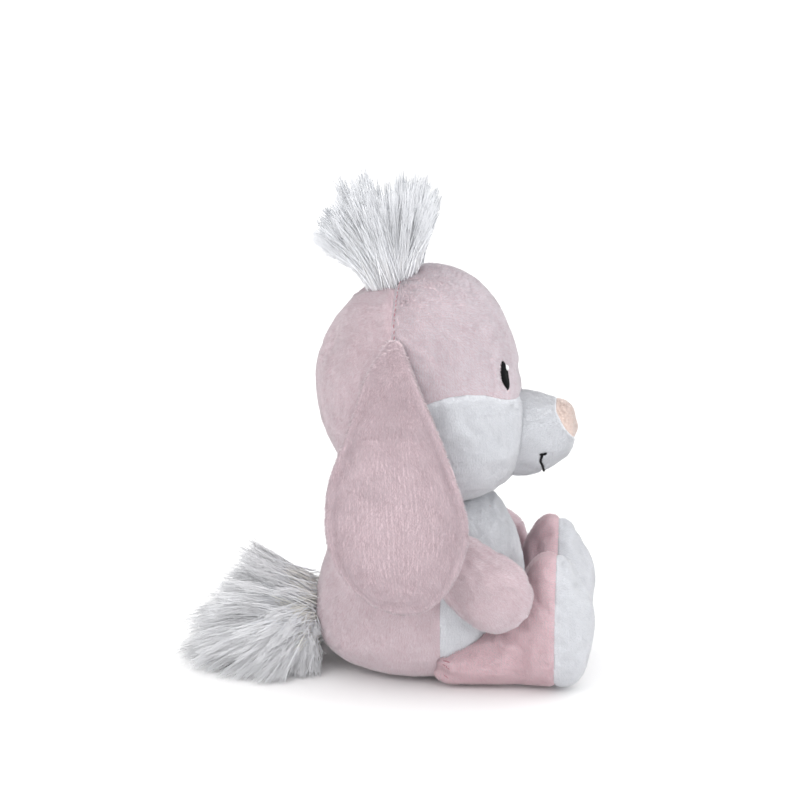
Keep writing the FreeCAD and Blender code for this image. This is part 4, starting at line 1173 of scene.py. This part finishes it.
def tuft_around(p):
    q = p - np.array([0, 14.0, 196.0])
    return unit(q * np.array([1.5, 0.5, 0.35]))


for k in (0, 1, 2, 3):
    part = slice(k, None, 4)
    tuft = strands("tuft_fur_strands_%s" % "abcd"[k], R[part], M[part], T[part], W[part], "head", P_TUFT_LIT, 92 + k, tuft_around, cream=0.2)
    if k == 0:
        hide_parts("tuft_fur")
BASE = np.array([(8.0 * math.cos(a), 13.0 + 9.0 * math.sin(a)) for a in np.linspace(0, 2 * math.pi, 40, endpoint=False)])
tuft_back = cover("tuft_backing_cloth", head, lambda p: np.where(p[:, 2] > 170, polygon_depth(p[:, 0], p[:, 1], BASE), -5.0), "head", [M_BACKING], ["tuft_backing"], 0.7, 1.0, 0.8)

# tail
rng = np.random.default_rng(97)
# tips of the tail's locks: along the top edge and the end in the middle plane, and along the floor on both sides
tail_top = [(89.4, 58.0), (88.0, 56.0), (86.0, 54.5), (95.0, 45.5), (92.5, 49.0), (99.9, 40.5), (98.0, 37.0), (102.0, 36.8), (97.0, 33.0), (105.0, 30.5), (108.0, 27.5), (112.0, 24.5), (104.0, 22.0), (109.0, 18.5), (114.0, 16.0),
            (117.0, 11.5), (120.0, 4.5), (118.5, 2.0), (115.0, 6.0), (82.0, 51.0), (78.0, 49.0), (74.0, 46.5), (70.0, 44.0), (66.0, 41.0), (63.5, 37.0)]
tail_low = [(-24.0, 111.5), (-33.5, 96.0), (-37.0, 90.0), (-40.5, 78.0), (-40.0, 72.0), (-38.0, 66.0), (-31.0, 56.0), (-30.0, 60.5), (-27.0, 104.0), (-16.0, 115.0), (-8.0, 118.5), (-36.0, 84.0), (-33.0, 70.0), (-29.0, 52.0), (-26.0, 49.0)]
specs = []
for y, z in tail_top:
    for _ in range(5):
        x = float(np.clip(rng.normal() * 0.38, -1, 1))
        pull = math.sqrt(1 - 0.4 * x * x)
        specs.append((35 * x * (0.55 + 0.45 * (y - 60) / 60), 56 + (y - 56) * (0.25 + 0.75 * pull), max(1.8, 24 + (z - 24) * (0.2 + 0.8 * pull))))
for x, y in tail_low:
    for sg in (-1, 1):
        for k in range(4):
            f = (1.0, 1.0, 0.93, 0.85)[k]
            specs.append((-sg * x * f * rng.uniform(0.97, 1.0), 54 + (y - 54) * rng.uniform(0.96, 1.0), (1.6, 2.2, 11.0, 20.0)[k] * rng.uniform(0.8, 1.2)))
for _ in range(70):
    a, b = rng.uniform(-1, 1), rng.uniform(0, 1)
    specs.append((37 * a, 108 - 26 * abs(a) - 22 * b, 4 + 34 * b * (1 - 0.3 * abs(a))))


TAIL = np.array([0, 57.0, 24.0])


def tail_base(rng, tip):
    d = np.array(tip) - np.array([0, 50.0, 24.0])
    d = d / np.linalg.norm(d)
    return TAIL + np.array([d[0] * 15, -3.5 + 1.5 * rng.random(), d[2] * 16]) + rng.normal(size=3) * np.array([1.5, 0.8, 1.5])


def tail_bend(rr, tt):
    d = tt - rr
    out = np.zeros_like(d)
    out[:, 2] = 0.09 * np.linalg.norm(d, axis=1)
    out[:, 1] = 0.05 * np.linalg.norm(d, axis=1)
    return out


R, M, T, W = locks(rng, specs, tail_base, int(64 * FINE), (2.9, 1.5, 3.1), (1.1, 1.1, 1.2), tail_bend, 0.34)
for q in (R, M, T):
    q[:, 2] = np.maximum(q[:, 2], 1.2 + 0.8 * np.random.default_rng(3).random(len(q)))


def tail_around(p):
    q = p - np.array([0, 62.0, 18.0])
    return unit(q * np.array([1.0, 0.5, 1.0]))


for k in (0, 1, 2, 3):
    part = slice(k, None, 4)
    tail = strands("tail_fur_strands_%s" % "abcd"[k], R[part], M[part], T[part], W[part], "tail", P_FUR, 98 + k, tail_around, cream=0.6, frizz=2.0)
    if k == 0:
        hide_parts("tail_fur")
knob = sweep([(54.6, 0, 10.0, 8.0), (57.0, 0, 13.0, 11.5), (60.0, 0, 12.0, 11.0), (63.0, 0, 9.0, 8.0)], 53.2, 65.5, lambda s, c, p, q: np.column_stack([q, s, 24 + p]), 1.4)
knob.push(0.4 * noise(knob.v, 5.0))
tail_root = mesh_object("tail_root_cloth", knob.v, [knob.quads, knob.tris], [M_BACKING])
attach(tail_root, "tail")
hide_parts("tail_root")

# ------------------------------------------------------------------------------------------
# floor, light and camera
# ------------------------------------------------------------------------------------------
floor_me = bpy.data.meshes.new("floor")
floor_me.from_pydata([(-9, -9, 0), (9, -9, 0), (9, 9, 0), (-9, 9, 0)], [], [(0, 1, 2, 3)])
floor = bpy.data.objects.new("floor", floor_me)
bpy.context.scene.collection.objects.link(floor)
m, t, p = principled("floor_paint")
n1 = t.nodes.new("ShaderNodeTexNoise")
n1.inputs["Scale"].default_value = 3.0
r1 = t.nodes.new("ShaderNodeValToRGB")
r1.color_ramp.elements[0].color = (0.94, 0.94, 0.942, 1)
r1.color_ramp.elements[1].color = (0.965, 0.965, 0.965, 1)
t.links.new(n1.outputs["Fac"], r1.inputs["Fac"])
t.links.new(r1.outputs["Color"], p.inputs["Base Color"])
p.inputs["Roughness"].default_value = 0.9
floor_me.materials.append(m)

world = bpy.data.worlds.new("studio")
bpy.context.scene.world = world
world.use_nodes = True
world.node_tree.nodes["Background"].inputs["Color"].default_value = (1.0, 1.0, 1.0, 1)
world.node_tree.nodes["Background"].inputs["Strength"].default_value = 1.12


def area_light(name, at, to, size, power):
    d = bpy.data.lights.new(name, "AREA")
    d.shape = "DISK"
    d.size = size
    d.energy = power
    o = bpy.data.objects.new(name, d)
    o.location = at
    o.rotation_mode = "QUATERNION"
    o.rotation_quaternion = (Vector(to) - Vector(at)).to_track_quat("-Z", "Y")
    bpy.context.scene.collection.objects.link(o)


def soft_light(name, towards, spread, power):
    """a very large soft box, far away"""
    d = bpy.data.lights.new(name, "SUN")
    d.angle = math.radians(spread)
    d.energy = power
    o = bpy.data.objects.new(name, d)
    o.location = Vector(towards) * 2.0
    o.rotation_mode = "QUATERNION"
    o.rotation_quaternion = (-Vector(towards)).to_track_quat("-Z", "Y")
    bpy.context.scene.collection.objects.link(o)


soft_light("key", (-0.5, -0.85, 1.15), 70.0, 0.8)
area_light("front", (0.4, -1.2, 0.8), (0, 0, 0.1), 0.8, 1.2)
area_light("back", (-0.8, 1.0, 0.8), (0, 0, 0.08), 0.8, 3.0)
bpy.context.scene.cycles.diffuse_bounces = 8

az, el, dist = math.radians(275.0), math.radians(15.0), 1.1
back = Vector((math.sin(az) * math.cos(el), -math.cos(az) * math.cos(el), math.sin(el)))
target = Vector((0, 0.0103, 0.136))
cam_data = bpy.data.cameras.new("camera")
cam_data.sensor_width = 36.0
cam_data.lens = 36.0 * (1100.0 / 0.49) / 800.0
cam = bpy.data.objects.new("camera", cam_data)
cam.location = target + back * dist
cam.rotation_mode = "QUATERNION"
cam.rotation_quaternion = (-back).to_track_quat("-Z", "Y")
bpy.context.scene.collection.objects.link(cam)
bpy.context.scene.camera = cam
bpy.context.scene.view_settings.view_transform = "Standard"
